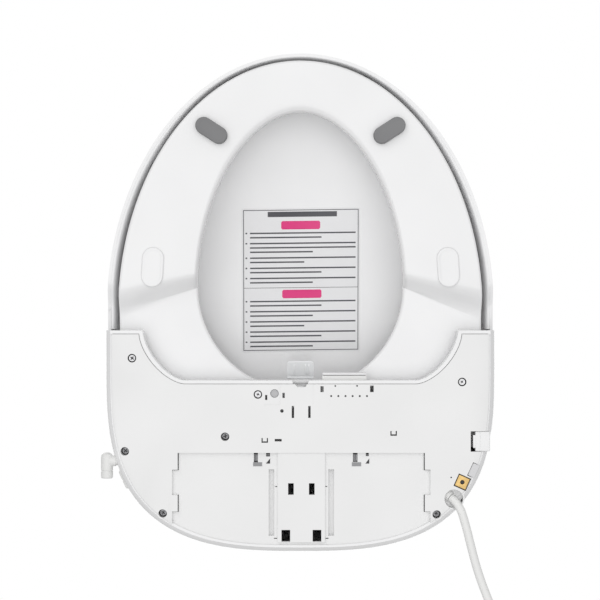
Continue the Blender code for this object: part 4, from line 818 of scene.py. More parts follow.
LABEL = (-60.5 * MM, -97 * MM, 61.5 * MM, 51.5 * MM)
LABEL_LIFT, LABEL_T, INK_T = 0.25 * MM, 0.25 * MM, 0.08 * MM
LABEL_TILT = -0.012
LINE_T, LINE_PITCH, PARAGRAPH_GAP = 1.5, 4.5, 1.6
PARAGRAPHS = ((-72.6, (2, 3, 2, 2, 2)), (-1.6, (2, 2, 2, 2, 2)))


def make_label():
    """A plain information sticker inside the lid: bars stand for its lines, with no lettering."""
    x0, y0, x1, y1 = LABEL
    ink = LABEL_LIFT + LABEL_T - 0.03 * MM
    piece("lid_label", sheet_on_lid(x0, y0, x1, y1, LABEL_LIFT, LABEL_LIFT + LABEL_T, LABEL_TILT),
          PAPER, 30, "lid")
    frame_w = 0.75
    left, top_y, right, low_y = (v / MM for v in (x0 + 1 * MM, y0 + 1 * MM, x1 - 1 * MM, y1 - 1 * MM))
    bars = [(-34, -94.0, 38, -88.6), (left, top_y, right, top_y + frame_w),
            (left, low_y - frame_w, right, low_y),
            (left, top_y + frame_w, left + frame_w, low_y - frame_w),
            (right - frame_w, top_y + frame_w, right, low_y - frame_w)]
    for top, rows in PARAGRAPHS:
        y = top
        for number, lines in enumerate(rows):
            for line in range(lines):
                end = 57.5 if line < lines - 1 else 22 - 9 * (number % 3)
                bars.append((-52.5, y, end, y + LINE_T))
                y += LINE_PITCH
            y += PARAGRAPH_GAP
    bars.append((left + frame_w, -15.2, right - frame_w, -14.7))
    dots = []
    for top, rows in PARAGRAPHS:
        y = top
        for lines in rows:
            dots.append((-57.2, y, -55.4, y + LINE_T))
            y += LINE_PITCH * lines + PARAGRAPH_GAP
    printed = [sheet_on_lid(a * MM, b * MM, c * MM, d * MM, ink, ink + INK_T, LABEL_TILT)
               for a, b, c, d in bars + dots]
    piece("lid_label_lines", merge(printed), PRINT, 30, "lid")
    titles = []
    for a, b, c, d in ((-20, -84.3, 20.6, -75.6), (-19, -12.8, 22, -4.0)):
        for inset, out in ((0, 1.2), (0.4, 0.5), (1.2, 0)):
            titles.append(sheet_on_lid((a + out) * MM, (b + inset) * MM, (c - out) * MM,
                                       (b + inset + 0.8) * MM, ink, ink + INK_T, LABEL_TILT))
            titles.append(sheet_on_lid((a + out) * MM, (d - inset - 0.8) * MM, (c - out) * MM,
                                       (d - inset) * MM, ink, ink + INK_T, LABEL_TILT))
        titles.append(sheet_on_lid(a * MM, (b + 2) * MM, c * MM, (d - 2) * MM, ink, ink + INK_T, LABEL_TILT))
    piece("lid_label_titles", merge(titles), PINK, 30, "lid")


# ====================================================================================
# Seat ring
# ====================================================================================
def ring_bottom_z(y):
    """Underside of the ring: low over the bowl, stepping up over the housing's wings."""
    return RING_BOTTOM_Z + (OVER_DECK_Z - RING_BOTTOM_Z) * ease(y, WING_FRONT_Y - 42 * MM,
                                                                WING_FRONT_Y - 13 * MM)


def ring_section(angle, shape):
    """One section: shape is a list of (edge, distance, height share, lift)."""
    outer, inner = ring_outline(angle), bowl_outline(angle)
    across = (outer - inner)
    width = across.length
    across = across / width
    low = ring_bottom_z(outer.y)
    tall = RING_TOP_Z - low
    squeeze = min(1.0, (width - 2 * SHELL) / (60 * MM))
    loop = []
    for edge, distance, share, lift in shape:
        if edge != "mid" and distance > SHELL:
            distance = SHELL + (distance - SHELL) * squeeze
        place = inner + across * distance if edge == "in" else outer - across * distance
        if edge == "mid":
            place = inner + across * (width * distance)
        loop.append(Vector((place.x, place.y, low + tall * share + lift)))
    return loop


def curved(points, parts):
    """An open run of points with a smooth curve through them."""
    places = [2 * points[0] - points[1]] + points + [2 * points[-1] - points[-2]]
    run = []
    for p0, p1, p2, p3 in zip(places, places[1:], places[2:], places[3:]):
        for i in range(parts):
            t = i / parts
            run.append(0.5 * (2 * p1 + (p2 - p0) * t + (2 * p0 - 5 * p1 + 4 * p2 - p3) * t ** 2
                              + (3 * p1 - p0 - 3 * p2 + p3) * t ** 3))
    run.append(points[-1])
    return run


def bowl_slope(angle):
    """Width of the sloped band beside the opening: widest at the front."""
    front = max(0.0, -math.sin(angle))
    return (4 + 9.5 * front ** 3) * MM


RING_EDGE_R = 2.8 * MM


def tray_section(angle):
    """Lower half of the ring."""
    band = bowl_slope(angle)
    skin = [("in", 0, SPLIT - 0.02, 0), ("in", 0, 0.2, 0)]
    for i in range(9):
        a = math.radians(10 + 72 * i / 8)
        skin.append(("in", band * (1 - math.cos(a)) * 1.02, 0.15 * (1 - math.sin(a)), 0))
    skin += [("in", band * 0.99, 0.001, 0), ("in", band + 0.8 * MM, 0, 0)]
    for i in range(8):
        a = math.radians(90 * i / 7)
        skin.append(("out", RING_EDGE_R * (1 - math.sin(a)), 0.085 * (1 - math.cos(a)), 0))
    skin.append(("out", 0, SPLIT - 0.02, 0))
    hidden = [("out", SHELL, SPLIT - 0.02, 0), ("out", SHELL, 0.2, 0), ("out", 6 * MM, 0, SHELL),
              ("in", band, 0, SHELL), ("in", SHELL, 0.20, SHELL / 2), ("in", SHELL, SPLIT - 0.02, 0)]
    return ring_section(angle, skin + hidden)


def cover_section(angle):
    """Upper half of the ring."""
    low = [("out", 0, SPLIT - 0.005, 0), ("out", 0, 0.56, 0)]
    crown = [("out", 0, 0.62, 0), ("out", 0.25 * MM, 0.74, 0), ("out", 2.6 * MM, 0.9, 0),
             ("out", 9 * MM, 1, 0), ("mid", 0.70, 0.995, 0), ("mid", 0.55, 0.93, 0), ("in", 12 * MM, 0.84, 0),
             ("in", 3.5 * MM, 0.74, 0), ("in", 0.4 * MM, 0.62, 0)]
    hidden = [("in", 0, 0.52, 0), ("in", 0, SPLIT - 0.005, 0), ("in", SHELL, SPLIT - 0.005, 0),
              ("in", SHELL, 0.58, 0),
              ("in", 4.8 * MM, 0.74, -SHELL), ("in", 12 * MM, 0.84, -SHELL), ("mid", 0.55, 0.93, -SHELL),
              ("out", 9 * MM, 1, -SHELL), ("out", 4.4 * MM, 0.82, 0), ("out", SHELL, 0.70, 0),
              ("out", SHELL, SPLIT - 0.005, 0)]
    return ring_section(angle, low) + curved(ring_section(angle, crown), 4) + ring_section(angle, hidden)


def arm_outline():
    """Side view of a hinge arm."""
    low = RING_TOP_Z - 2.1 * MM
    points = [(RING_REAR_Y - 10 * MM, low), (RING_REAR_Y - 2.8 * MM, low)]
    for i in range(37):
        a = math.radians(-50 + 220 * i / 36)
        points.append((HINGE_Y + ARM_R * math.cos(a), HINGE_Z + ARM_R * math.sin(a)))
    return points


def make_ring():
    """The two halves of the ring, with the hinge arms on the upper one."""
    stations = even_angles(ring_outline, 200)
    piece("ring_underside", hoop_bm([tray_section(a) for a in stations]), WHITE, 32, "seat",
          ["seat_bottom_shell"])
    bm = hoop_bm([cover_section(a) for a in stations])
    for side in (1, -1):
        bm = joined(bm, side_plate_bm(arm_outline(), side * ARM_X, side * (ARM_X + ARM_W)))
    bm = carved(bm, *[rod_bm((side * (ARM_X - EPS), HINGE_Y, HINGE_Z),
                             (side * (ARM_X + ARM_W + EPS), HINGE_Y, HINGE_Z), PIN_HOLE_R)
                             for side in (1, -1)])
    piece("ring_top", bm, WHITE, 38, "seat", ["seat_top_shell"])


def capsule_outline(centre, length, width, turn, steps=16):
    """A capsule in plan, turned about its centre."""
    half, r = (length - width) / 2, width / 2
    points = []
    for end in (1, -1):
        for i in range(steps + 1):
            a = math.pi * i / steps - math.pi / 2
            x, y = end * (half + r * math.cos(a)), end * r * math.sin(a)
            points.append((centre[0] + x * math.cos(turn) - y * math.sin(turn),
                           centre[1] + x * math.sin(turn) + y * math.cos(turn)))
    return points


def cushion_loops(centre, length, width, turn, top, bottom, soft):
    """A capsule foot: straight side, rounded lower edge, shallow dish in its face."""
    loops = [[(x, y, top) for x, y in capsule_outline(centre, length, width, turn)]]
    for i in range(6):
        a = math.radians(90 * i / 5)
        inset = soft * (1 - math.cos(a))
        outline = capsule_outline(centre, length - 2 * inset, width - 2 * inset, turn)
        loops.append([(x, y, bottom + soft * (1 - math.sin(a))) for x, y in outline])
    for inset, lift in ((2.2 * MM, 0.02 * MM), (3.0 * MM, 0.35 * MM), (4.5 * MM, 0.5 * MM)):
        outline = capsule_outline(centre, length - 2 * inset, width - 2 * inset, turn)
        loops.append([(x, y, bottom + lift) for x, y in outline])
    return loops


def make_feet():
    """Grey bumpers, white pads and the lid's buffers."""
    for side, name in ((-1, "left"), (1, "right")):
        loops = cushion_loops((side * 89.3 * MM, -172 * MM), 35 * MM, 17 * MM, -side * math.radians(33),
                              RING_BOTTOM_Z - GAP, 0, 1.6 * MM)
        piece(f"front_foot_{name}", loft_bm(loops), RUBBER, 32, "seat",
              [f"seat_bumper_{name}"])
        loops = cushion_loops((side * 148.5 * MM, -35 * MM), 40 * MM, 22 * MM, math.pi / 2 - side * 0.06,
                              RING_BOTTOM_Z - GAP, RING_BOTTOM_Z - 2.2 * MM, 1.4 * MM)
        piece(f"side_pad_{name}", loft_bm(loops), WHITE, 32, "seat", [f"seat_pad_{name}"])
        x, y = side * 60 * MM, LID_MIDDLE_Y - 225 * MM
        top = LID_FRONT_SHOULDER_Z + LID_ROUND - 5.5 * MM
        tall = top - RING_TOP_Z - GAP
        buffer = turned_bm((x, y, RING_TOP_Z + GAP), (x, y, top),
                           [(0, 0), (0, 3.4 * MM), (0.5 * MM, 4.5 * MM), (1.4 * MM, 5 * MM),
                            (tall - 1.6 * MM, 5.4 * MM),
                            (tall - 1.4 * MM, 6 * MM), (tall, 6 * MM), (tall, 0)])
        piece(f"lid_stop_{name}", buffer, RUBBER, 40, "lid", [f"lid_buffer_{name}"])


# ====================================================================================
# Housing
# ====================================================================================
def along_nozzle(back, up=0.0, x=0.0):
    """A point given by its distance behind the nozzle's tip and above its axis."""
    return NOZZLE_TIP - NOZZLE_DIR * back + NOZZLE_UP * up + Vector((x, 0, 0))


def nozzle_bar_bm(back0, back1, up0, up1, x0, x1):
    """A bar square to the nozzle."""
    return loft_bm([[tuple(along_nozzle(b, u, x))
                     for b, u in ((back0, up0), (back1, up0), (back1, up1), (back0, up1))] for x in (x0, x1)])


FLARE = ((BASE_T, 5.2 * MM), (5.6 * MM, 3.2 * MM), (9.2 * MM, 1.0 * MM), (14 * MM, 0.0))


def flare_inset(z):
    """How far the housing's side stands inside its widest plan at a height."""
    if z <= FLARE[0][0]:
        return FLARE[0][1]
    for (z0, inset0), (z1, inset1) in zip(FLARE, FLARE[1:]):
        if z <= z1:
            return inset0 + (inset1 - inset0) * (z - z0) / (z1 - z0)
    return 0.0


def low_body_outer():
    """Outside of the low body, its upper edge rounded."""
    edge = 1.8 * MM
    loops = []
    for z in (GAP, BASE_T + GAP, 4.4 * MM, 5.6 * MM, 7.4 * MM, 9.2 * MM, 11.6 * MM, 14 * MM, DECK_Z - edge):
        loops.append([(x, y, z) for x, y in wing_outline(flare_inset(z), 0)])
    for degrees in (30, 60, 90):
        a = math.radians(degrees)
        inset = edge * (1 - math.cos(a))
        loops.append([(x, y, DECK_Z - edge + edge * math.sin(a)) for x, y in wing_outline(inset, inset)])
    return loops


def low_body_inner():
    """Hollow of the low body, open at the bottom."""
    return [[(x, y, z) for x, y in wing_outline(flare_inset(z) + WALL, LIP)]
            for z in (-EPS, BASE_T + GAP, 5.6 * MM, 9.2 * MM, 14 * MM, DECK_Z - WALL)]


def hump_loops(wall, z_low, z_high, fine):
    """Loops of the raised rear, drafted inwards and rounded at the top."""
    levels = [Vector(level) for level in ((0.0, 0.4, 0.0), (0.35, 1.5, 0.0), (0.72, 4.5, 0.0), (0.88, 8, 1.0),
                                          (0.965, 13, 4.0), (1.0, 21, 10.0))]
    loops = []
    for share, inset, ease_in in curved(levels, 4) if fine else levels:
        share = min(1.0, share)
        z = z_low + (z_high - z_low) * share
        lean = max(0.0, z - HINGE_Z) * math.tan(HUMP_LEAN)
        front = HINGE_Y + LID_ROUND + 2 * MM + lean + wall + max(0.0, ease_in) * MM
        outline = hump_outline(front, inset * MM + wall, max(2 * MM, 12 * MM - wall))
        loops.append([(x, y, z) for x, y in outline])
    return loops


def lug_outline():
    """Side view of a hinge lug: its neck stands ahead of the pin, clear of the open lid's back."""
    neck_y = HINGE_Y - 3 * MM
    points = [(HINGE_Y - 13 * MM, DECK_Z - 2 * MM), (neck_y, DECK_Z - 2 * MM), (neck_y, HINGE_Z - 14 * MM)]
    for i in range(41):
        a = math.radians(-60 + 240 * i / 40)
        points.append((HINGE_Y + LUG_R * math.cos(a), HINGE_Z + LUG_R * math.sin(a)))
    return points


def channel_bm(z0, z1):
    """The open channel that lets the cord out through the housing's edge."""
    start = Vector((POCKET_X, POCKET_Y, 0)) + Vector((0.5 * MM, 1 * MM, 0))
    across = Vector((-CHANNEL_DIR.y, CHANNEL_DIR.x, 0)) * CHANNEL_HALF
    end = start + CHANNEL_DIR * 40 * MM
    return plate_bm([(p.x, p.y) for p in (start + across, start - across, end - across, end + across)], z0,
                    z1)


def make_upper_housing():
    """The upper housing: wings, deck, hinge lugs, nozzle hood and hump in one thin moulding."""
    hump_low = DECK_Z - 8 * MM
    hood = nozzle_bar_bm(9 * MM, 68 * MM, -2 * MM, NOZZLE_R + HOOD_CLEAR + HOOD_WALL, -HOOD_HALF_W,
                         HOOD_HALF_W)
    lugs = [side_plate_bm(lug_outline(), side * LUG_X, side * (LUG_X + LUG_W)) for side in (1, -1)]
    bm = joined(loft_bm(low_body_outer()), loft_bm(hump_loops(0, hump_low, HUMP_Z, True)), hood, *lugs)
    bm = carved(bm, loft_bm(low_body_inner()))
    bm = carved(bm, plate_bm(wing_outline(-5 * MM, LIP + GAP), -EPS, BASE_T + GAP / 2))
    bm = carved(bm, loft_bm(hump_loops(WALL, hump_low - 4 * MM, HUMP_Z - WALL, False)))
    bm = carved(bm, nozzle_bar_bm(4 * MM, 90 * MM, -8 * MM, NOZZLE_R + HOOD_CLEAR,
                                  -HOOD_HALF_W + HOOD_WALL, HOOD_HALF_W - HOOD_WALL))
    front_y = WING_FRONT_Y + WING_DEPTH
    bm = carved(
        bm,
        box_bm((-13 * MM, front_y - 2 * MM, BASE_T + GAP), (13 * MM, front_y + LIP + 4 * MM, 19.5 * MM)),
        box_bm((DUCT_X0 - GAP, front_y - 2 * MM, DUCT_Z0 - GAP),
               (DUCT_X1 + GAP, front_y + LIP + 2 * MM, DUCT_Z1 + GAP)),
        rod_bm((INLET_X + 2 * MM, INLET_Y, INLET_Z), (INLET_X + 22 * MM, INLET_Y, INLET_Z), STUB_R + GAP),
        box_bm((BUTTON_X - 8 * MM, BUTTON_Y0 - GAP, -EPS),
               (HALF_WIDTH + 4 * MM, BUTTON_Y1 + GAP, BUTTON_Z1 + GAP)),
        channel_bm(-EPS, 12 * MM),
        rod_bm((POWER_X, POWER_Y, HUMP_Z - 8 * MM), (POWER_X, POWER_Y, HUMP_Z + EPS), POWER_R + GAP,
               sides=56))
    bm = carved(bm, plate_bm([(-8.7 * MM, front_y - 2 * MM), (9 * MM, front_y - 2 * MM),
                              (7.5 * MM, front_y + LIP + GAP), (-7.5 * MM, front_y + LIP + GAP)],
                             -EPS, BASE_T + 2 * GAP))
    bm = carved(bm, *[rod_bm((x * MM, y * MM, -EPS), (x * MM, y * MM, DEEP_BOSS_Z), SCREW_HOLE_R, sides=36)
                      for x, y in DEEP_SCREWS])
    bm = carved(bm, rod_bm((POCKET_X, POCKET_Y, -EPS), (POCKET_X, POCKET_Y, 11.6 * MM), POCKET_R, sides=56))
    bm = carved(bm, box_bm((-30 * MM, HINGE_Y, 84 * MM), (30 * MM, HINGE_Y + 44 * MM, 98 * MM)))
    bm = carved(bm, *[rod_bm((side * (LUG_X - EPS), HINGE_Y, HINGE_Z),
                             (side * (LUG_X + LUG_W + EPS), HINGE_Y, HINGE_Z), PIN_HOLE_R)
                             for side in (1, -1)])
    piece("upper_housing", bm, WHITE, 34, "housing", ["housing_top"])


RECESS_TAB = 5.5 * MM
TAB_1_END, TAB_2_START, TAB_2_END = (RECESS_Y + reach * MM for reach in (16.9, 42.2, 58.6))
GROOVES_X = ((-31.8, -26.2), (27.9, 33.7))


def recess_outline():
    """Plan of the hollow for the mounting plate, with two inward tabs on each side."""
    rows = ((RECESS_Y, RECESS_TAB), (TAB_1_END, 0), (TAB_2_START, RECESS_TAB), (TAB_2_END, 0))
    end = REAR_MIDDLE_Y + REAR_LENGTH + 10 * MM
    left, right = [], []
    for number, (y, inward) in enumerate(rows):
        y_next = rows[number + 1][0] if number + 1 < len(rows) else end
        left += [(RECESS_LEFT_X + inward, y), (RECESS_LEFT_X + inward, y_next)]
        right += [(RECESS_RIGHT_X - inward, y), (RECESS_RIGHT_X - inward, y_next)]
    return right + list(reversed(left))


def pan_outline(inset, steps=60):
    """Plan of the raised pan over the recess, following the housing's rear."""
    margin = 2.6 * MM
    x0, x1 = RECESS_LEFT_X - margin, RECESS_RIGHT_X + margin
    points = [(x0, RECESS_Y - margin), (x1, RECESS_Y - margin)]
    for i in range(steps + 1):
        x = x1 + (x0 - x1) * i / steps
        share = abs(x) / (HALF_WIDTH - inset)
        points.append((x,
                       REAR_MIDDLE_Y + (REAR_LENGTH - inset) * (1 - share ** REAR_POWER) ** (1 / REAR_POWER)))
    return points


def slot_bm(x0, y0, x1, y1, z0=-EPS, z1=BASE_T + EPS):
    """A straight-sided slot through the base, its corners in millimetres."""
    return box_bm((x0 * MM, y0 * MM, z0), (x1 * MM, y1 * MM, z1))


GROOVE_DEPTH = 6 * MM


def recess_slits():
    """Narrow L-shaped slits that free the edge of each tab beside the recess."""
    slit, top = 0.9 * MM, RECESS_DEPTH + WALL + EPS
    slits = []
    for y0, y1 in ((RECESS_Y + 0.2 * MM, TAB_1_END), (TAB_2_START, TAB_2_END)):
        for edge_x, way in ((RECESS_LEFT_X, 1), (RECESS_RIGHT_X, -1)):
            inner = edge_x + way * RECESS_TAB
            outline = [(inner, y0), (inner + way * slit, y0), (inner + way * slit, y1 + slit),
                       (edge_x, y1 + slit), (edge_x, y1), (inner, y1)]
            slits.append(plate_bm(outline, RECESS_DEPTH - EPS, top))
    return slits


def base_fine_cuts():
    """Pin holes, and the fine step line round the nozzle's bulge."""
    cuts = [rod_bm((x * MM, y * MM, -EPS), (x * MM, y * MM, BASE_T + EPS), r * MM, sides=20)
            for x, y, r in ((34.9, 84.0, 0.85), (56.7, 83.9, 0.85), (150.8, 175.5, 0.8))]
    line, depth = 0.5 * MM, 0.3 * MM
    for x in (-20.6, 12.6):
        cuts.append(box_bm((x * MM, 82.6 * MM, -EPS), (x * MM + line, 102 * MM, depth)))
    for y, x0, x1 in ((102.0, -36, -20.6), (85.4, -22.6, -20.9)):
        cuts.append(box_bm((x0 * MM, y * MM + line, -EPS), (x1 * MM, y * MM + 2 * line, depth)))
    return cuts


def snap_tongues():
    """Tongues inside the U-shaped slots, hinged on their front edge."""
    return [box_bm((x0 * MM, (y0 - 0.5) * MM, 0.35 * MM), (x1 * MM, y1 * MM, BASE_T - 0.2 * MM))
            for x0, y0, x1, y1 in ((-37.7, 136, -33.6, 139.4), (91.2, 129, 95.3, 132.4))]


def make_latch_window_shades():
    """Grey plates at the foot of the two latch windows and small black triangles beside them: painted shade.
    """
    z0, z1 = RECESS_DEPTH - 0.3 * MM, RECESS_DEPTH + 0.6 * MM
    foot_shades = [box_bm((x0 * MM, 160.7 * MM, z0), (x1 * MM, 164.7 * MM, z1)) for x0,
            x1 in ((-47.4, -38.4), (51.6, 60.9))]
    piece("latch_window_foot_shade", joined(*foot_shades), BAR_GREY_AND_SHADE, 36, "housing")
    # Black triangles beside the windows: painted shade.
    triangle_shades = [plate_bm([(x0 * MM, 162 * MM), (x1 * MM, 157 * MM), (x1 * MM, 162 * MM)], z0, z1)
             for x0, x1 in ((-34.6, -30.4), (65.2, 69.0))]
    piece("latch_window_triangle_shade", joined(*triangle_shades), BLACK_AND_SHADE, 36, "housing")


def nut_square_bm(margin, z0, z1):
    """A block over the turned square of the threaded insert, wider by a margin on every side."""
    half = NUT_SIDE / 2 + margin
    return box_bm((NUT_X - half, NUT_Y - half, z0), (NUT_X + half, NUT_Y + half, z1),
                  Matrix.Rotation(NUT_TURN, 4, "Z"))


def make_base():
    """The base: plate, sunken pan with its track, slots, holes and bosses."""
    rear_end = REAR_MIDDLE_Y + REAR_LENGTH - 10.4 * MM
    front = WING_FRONT_Y + WING_DEPTH
    pan_top = RECESS_DEPTH + WALL
    deep = pan_top + EPS
    edge = 0.5 * MM
    loops = [[(x, y, z) for x, y in wing_outline(BASE_SIDE_INSET + inset, LIP + SEAM + inset)]
             for z, inset in ((0, edge), (edge * 0.3, edge * 0.3), (edge, 0), (BASE_T, 0))]
    bm = joined(loft_bm(loops), plate_bm(pan_outline(9.8 * MM), BASE_T - 1 * MM, pan_top))
    bm = carved(bm, plate_bm(recess_outline(), -EPS, RECESS_DEPTH))
    bm = joined(bm, plate_bm(pan_outline(6.8 * MM), RECESS_DEPTH, pan_top))
    bm = joined(bm, box_bm((TRACK_LEFT_X, RECESS_Y - 0.5 * MM, RECESS_DEPTH - TRACK_T),
                           (TRACK_RIGHT_X, rear_end, RECESS_DEPTH + 0.5 * MM)))
    for x, y in SCREWS:
        if (x, y) in DEEP_SCREWS:
            bm = joined(bm,
                        rod_bm((x * MM, y * MM, BASE_T - 0.5 * MM), (x * MM, y * MM, DEEP_BOSS_Z), 5.8 * MM))
    cuts = [rod_bm((x * MM, y * MM, -EPS), (x * MM, y * MM, DEEP_BOSS_Z + EPS), SCREW_HOLE_R) for x,
            y in SCREWS]
    cuts += [
        rod_bm((SERVICE_X, SERVICE_Y, -EPS), (SERVICE_X, SERVICE_Y, BASE_T + EPS), SERVICE_R + GAP),
        rod_bm((-18.5 * MM, 109 * MM, -EPS), (-18.5 * MM, 109 * MM, BASE_T + EPS), 1.75 * MM),
        slot_bm(-35.3, 93, -33.1, 98), slot_bm(-18, 90.8, -15.6, 96),
        slot_bm(-8.7, 104, -6.3, 116), slot_bm(7.8, 104, 10.2, 116),
        slot_bm(-38.9, 136, -32.4, 140.8), slot_bm(90, 129, 96.5, 133.8), slot_bm(-25.7, 137, -18.7, 139.5),
        slot_bm(20, 84.2, 23.3, 90.1), slot_bm(69.7, 83.6, 73.3, 90.1),
        plate_bm([(-8.7 * MM, front), (9 * MM, front), (5.1 * MM, front + LIP + 3.4 * MM),
                  (-3 * MM, front + LIP + 3.4 * MM)], -EPS, BASE_T + EPS),
        box_bm((BUTTON_X - BUTTON_STROKE - 2.5 * MM, BUTTON_Y0 - GAP, -EPS),
               (HALF_WIDTH, BUTTON_Y1 + GAP, BASE_T + EPS)),
    ]
    cuts += [rod_bm((x * MM, 94.1 * MM, -EPS), (x * MM, 94.1 * MM, BASE_T + EPS), 1 * MM, sides=20)
             for x in (30.8, 37.95, 45.1, 52.25, 59.4, 66.6)]
    bm = carved(bm, *cuts)
    bm = carved(bm, nut_square_bm(0.9 * MM, -EPS, BASE_T + EPS))
    bm = carved(bm,
                rod_bm((POCKET_X, POCKET_Y, -EPS), (POCKET_X, POCKET_Y, BASE_T + EPS), POCKET_R, sides=56))
    bm = carved(bm, box_bm((DRAIN_X - 4.2 * MM, DRAIN_Y - 7.3 * MM, -EPS),
                           (DRAIN_X + 4.2 * MM, DRAIN_Y + 7.3 * MM, BASE_T + EPS),
                           Matrix.Rotation(DRAIN_TURN, 4, "Z")))
    windows = [slot_bm(*WINDOW_LEFT, z1=deep), slot_bm(*WINDOW_RIGHT, z1=deep),
               slot_bm(-34.4, 151.5, -30.4, 155, z1=deep), slot_bm(65.6, 150.95, 68.6, 154.6, z1=deep)]
    windows += [slot_bm(x - 2.8, 181.5, x + 2.8, 193.1, z1=deep) for x in (-9.5, 11.4)]
    windows += [slot_bm(x - 4.35, 228.2, x + 4.35, 240, z1=deep) for x in (-14.6, 16.6)]
    windows += [slot_bm(x - 1.6, y - 0.5, x + 1.6, y + 0.5, z1=deep) for x in (-25, 26.6) for y in (185, 237)]
    bm = carved(bm, *windows)
    bm = joined(bm, *[box_bm(((x0 - 1.2) * MM, RECESS_Y + 15.6 * MM, RECESS_DEPTH + 1 * MM),
                             ((x1 + 1.2) * MM, rear_end - 5 * MM, RECESS_DEPTH + GROOVE_DEPTH + 1.2 * MM))
                      for x0, x1 in GROOVES_X])
    bm = carved(bm, *[box_bm((x0 * MM, RECESS_Y + 16.8 * MM, RECESS_DEPTH - EPS),
                             (x1 * MM, rear_end - 6.2 * MM, RECESS_DEPTH + GROOVE_DEPTH))
                      for x0, x1 in GROOVES_X])
    bm = carved(bm, *recess_slits())
    bm = carved(bm, *base_fine_cuts())
    bm = joined(bm, *snap_tongues())
    piece("base_plate", bm, SATIN, 34, "housing", ["housing_base"])


# ====================================================================================
# Screws
# ====================================================================================
DEEP_SCREWS = ((-175.7, 149.4), (-137.8, 211.6), (136.4, 212.6), (-75.4, 134.8))
DEEP_BOSS_Z = 12 * MM
SHALLOW_HEAD_Z, DEEP_HEAD_Z = 0.9 * MM, 8.2 * MM


def node_maker(tree):
    """A short way to add a node with its values and links."""
    def make(kind, values=None, links=None, **settings):
        node = tree.nodes.new(kind)
        for key, value in settings.items():
            setattr(node, key, value)
        for key, value in (values or {}).items():
            node.inputs[key].default_value = value
        for key, source in (links or {}).items():
            tree.links.new(source, node.inputs[key])
        return node
    return make


def screw_tree(recess_shade_only=False):
    """Geometry nodes: a cross-recess screw, or only a black cross set up into its recess as painted shade,
    facing down at each point.
    """
    tree = bpy.data.node_groups.new("screws_at_points", "GeometryNodeTree")
    face = tree.interface
    face.new_socket("Geometry", in_out="INPUT", socket_type="NodeSocketGeometry")
    for name in ("Head radius", "Head height", "Shank radius", "Shank length", "Recess width",
                 "Recess depth"):
        face.new_socket(name, in_out="INPUT", socket_type="NodeSocketFloat")
    face.new_socket("Material", in_out="INPUT", socket_type="NodeSocketMaterial")
    face.new_socket("Geometry", in_out="OUTPUT", socket_type="NodeSocketGeometry")
    make = node_maker(tree)
    given = make("NodeGroupInput").outputs

    def times(value, factor, plus=None):
        node = make("ShaderNodeMath", {1: factor}, {0: value}, operation="MULTIPLY")
        if plus is None:
            return node.outputs[0]
        return make("ShaderNodeMath", {}, {0: node.outputs[0], 1: plus}, operation="ADD").outputs[0]

    def vector(x=None, y=None, z=None):
        links = {key: value for key, value in (("X", x), ("Y", y), ("Z", z)) if value is not None}
        return make("ShaderNodeCombineXYZ", {}, links).outputs[0]

    head = make("GeometryNodeMeshCone", {"Vertices": 36},
                {"Radius Top": given["Head radius"], "Radius Bottom": times(given["Head radius"], 0.86),
                 "Depth": given["Head height"]})
    recess_length = times(given["Head radius"], 1.16)
    bar_a = make("GeometryNodeMeshCube", {}, {"Size": vector(recess_length, given["Recess width"],
                                                             given["Recess depth"])})
    bar_b = make("GeometryNodeMeshCube", {}, {"Size": vector(given["Recess width"], recess_length,
                                                             given["Recess depth"])})
    cross = make("GeometryNodeMeshBoolean", operation="UNION", solver="EXACT")
    tree.links.new(bar_a.outputs["Mesh"], cross.inputs["Mesh 2"])
    tree.links.new(bar_b.outputs["Mesh"], cross.inputs["Mesh 2"])
    cut_head = make("GeometryNodeMeshBoolean", {},
                    {"Mesh 1": head.outputs["Mesh"], "Mesh 2": cross.outputs["Mesh"]},
                    operation="DIFFERENCE", solver="EXACT")
    shank = make("GeometryNodeMeshCylinder", {"Vertices": 24},
                 {"Radius": given["Shank radius"], "Depth": given["Shank length"]})
    half_shank = times(given["Shank length"], 0.5, times(given["Head height"], 0.9))
    moved = make("GeometryNodeTransform", {},
                 {"Geometry": shank.outputs["Mesh"], "Translation": vector(z=half_shank)})
    whole = make("GeometryNodeMeshBoolean", operation="UNION", solver="EXACT")
    tree.links.new(cut_head.outputs["Mesh"], whole.inputs["Mesh 2"])
    tree.links.new(moved.outputs["Geometry"], whole.inputs["Mesh 2"])
    spin = make("FunctionNodeRandomValue", {"Min": (0, 0, 0), "Max": (0, 0, 3.14), "Seed": 7},
                data_type="FLOAT_VECTOR")
    # The cross moved up into the head's recess: drawn black, it is painted shade.
    floor = make("GeometryNodeTransform", {}, {"Geometry": cross.outputs["Mesh"],
                                               "Translation": vector(z=times(given["Recess depth"], 0.62))})
    shown = floor.outputs["Geometry"] if recess_shade_only else whole.outputs["Mesh"]
    placed = make("GeometryNodeInstanceOnPoints", {},
                  {"Points": given["Geometry"], "Instance": shown, "Rotation": spin.outputs[0]})
    real = make("GeometryNodeRealizeInstances", {}, {"Geometry": placed.outputs["Instances"]})
    dressed = make("GeometryNodeSetMaterial", {}, {"Geometry": real.outputs["Geometry"],
                                                   "Material": given["Material"]})
    out = make("NodeGroupOutput")
    tree.links.new(dressed.outputs["Geometry"], out.inputs["Geometry"])
    return tree


def grown(points, tree, inputs):
    """The mesh that a geometry node tree makes on a set of points, as a bmesh."""
    mesh = bpy.data.meshes.new("points")
    mesh.from_pydata([tuple(p) for p in points], [], [])

    def setup(work):
        mod = work.modifiers.new("grow", "NODES")
        mod.node_group = tree
        for socket in tree.interface.items_tree:
            if socket.item_type == "SOCKET" and socket.in_out == "INPUT" and socket.name in inputs:
                mod[socket.identifier] = inputs[socket.name]

    bm = bmesh.new()
    bm.from_mesh(mesh)
    bpy.data.meshes.remove(mesh)
    return evaluated(bm, setup)


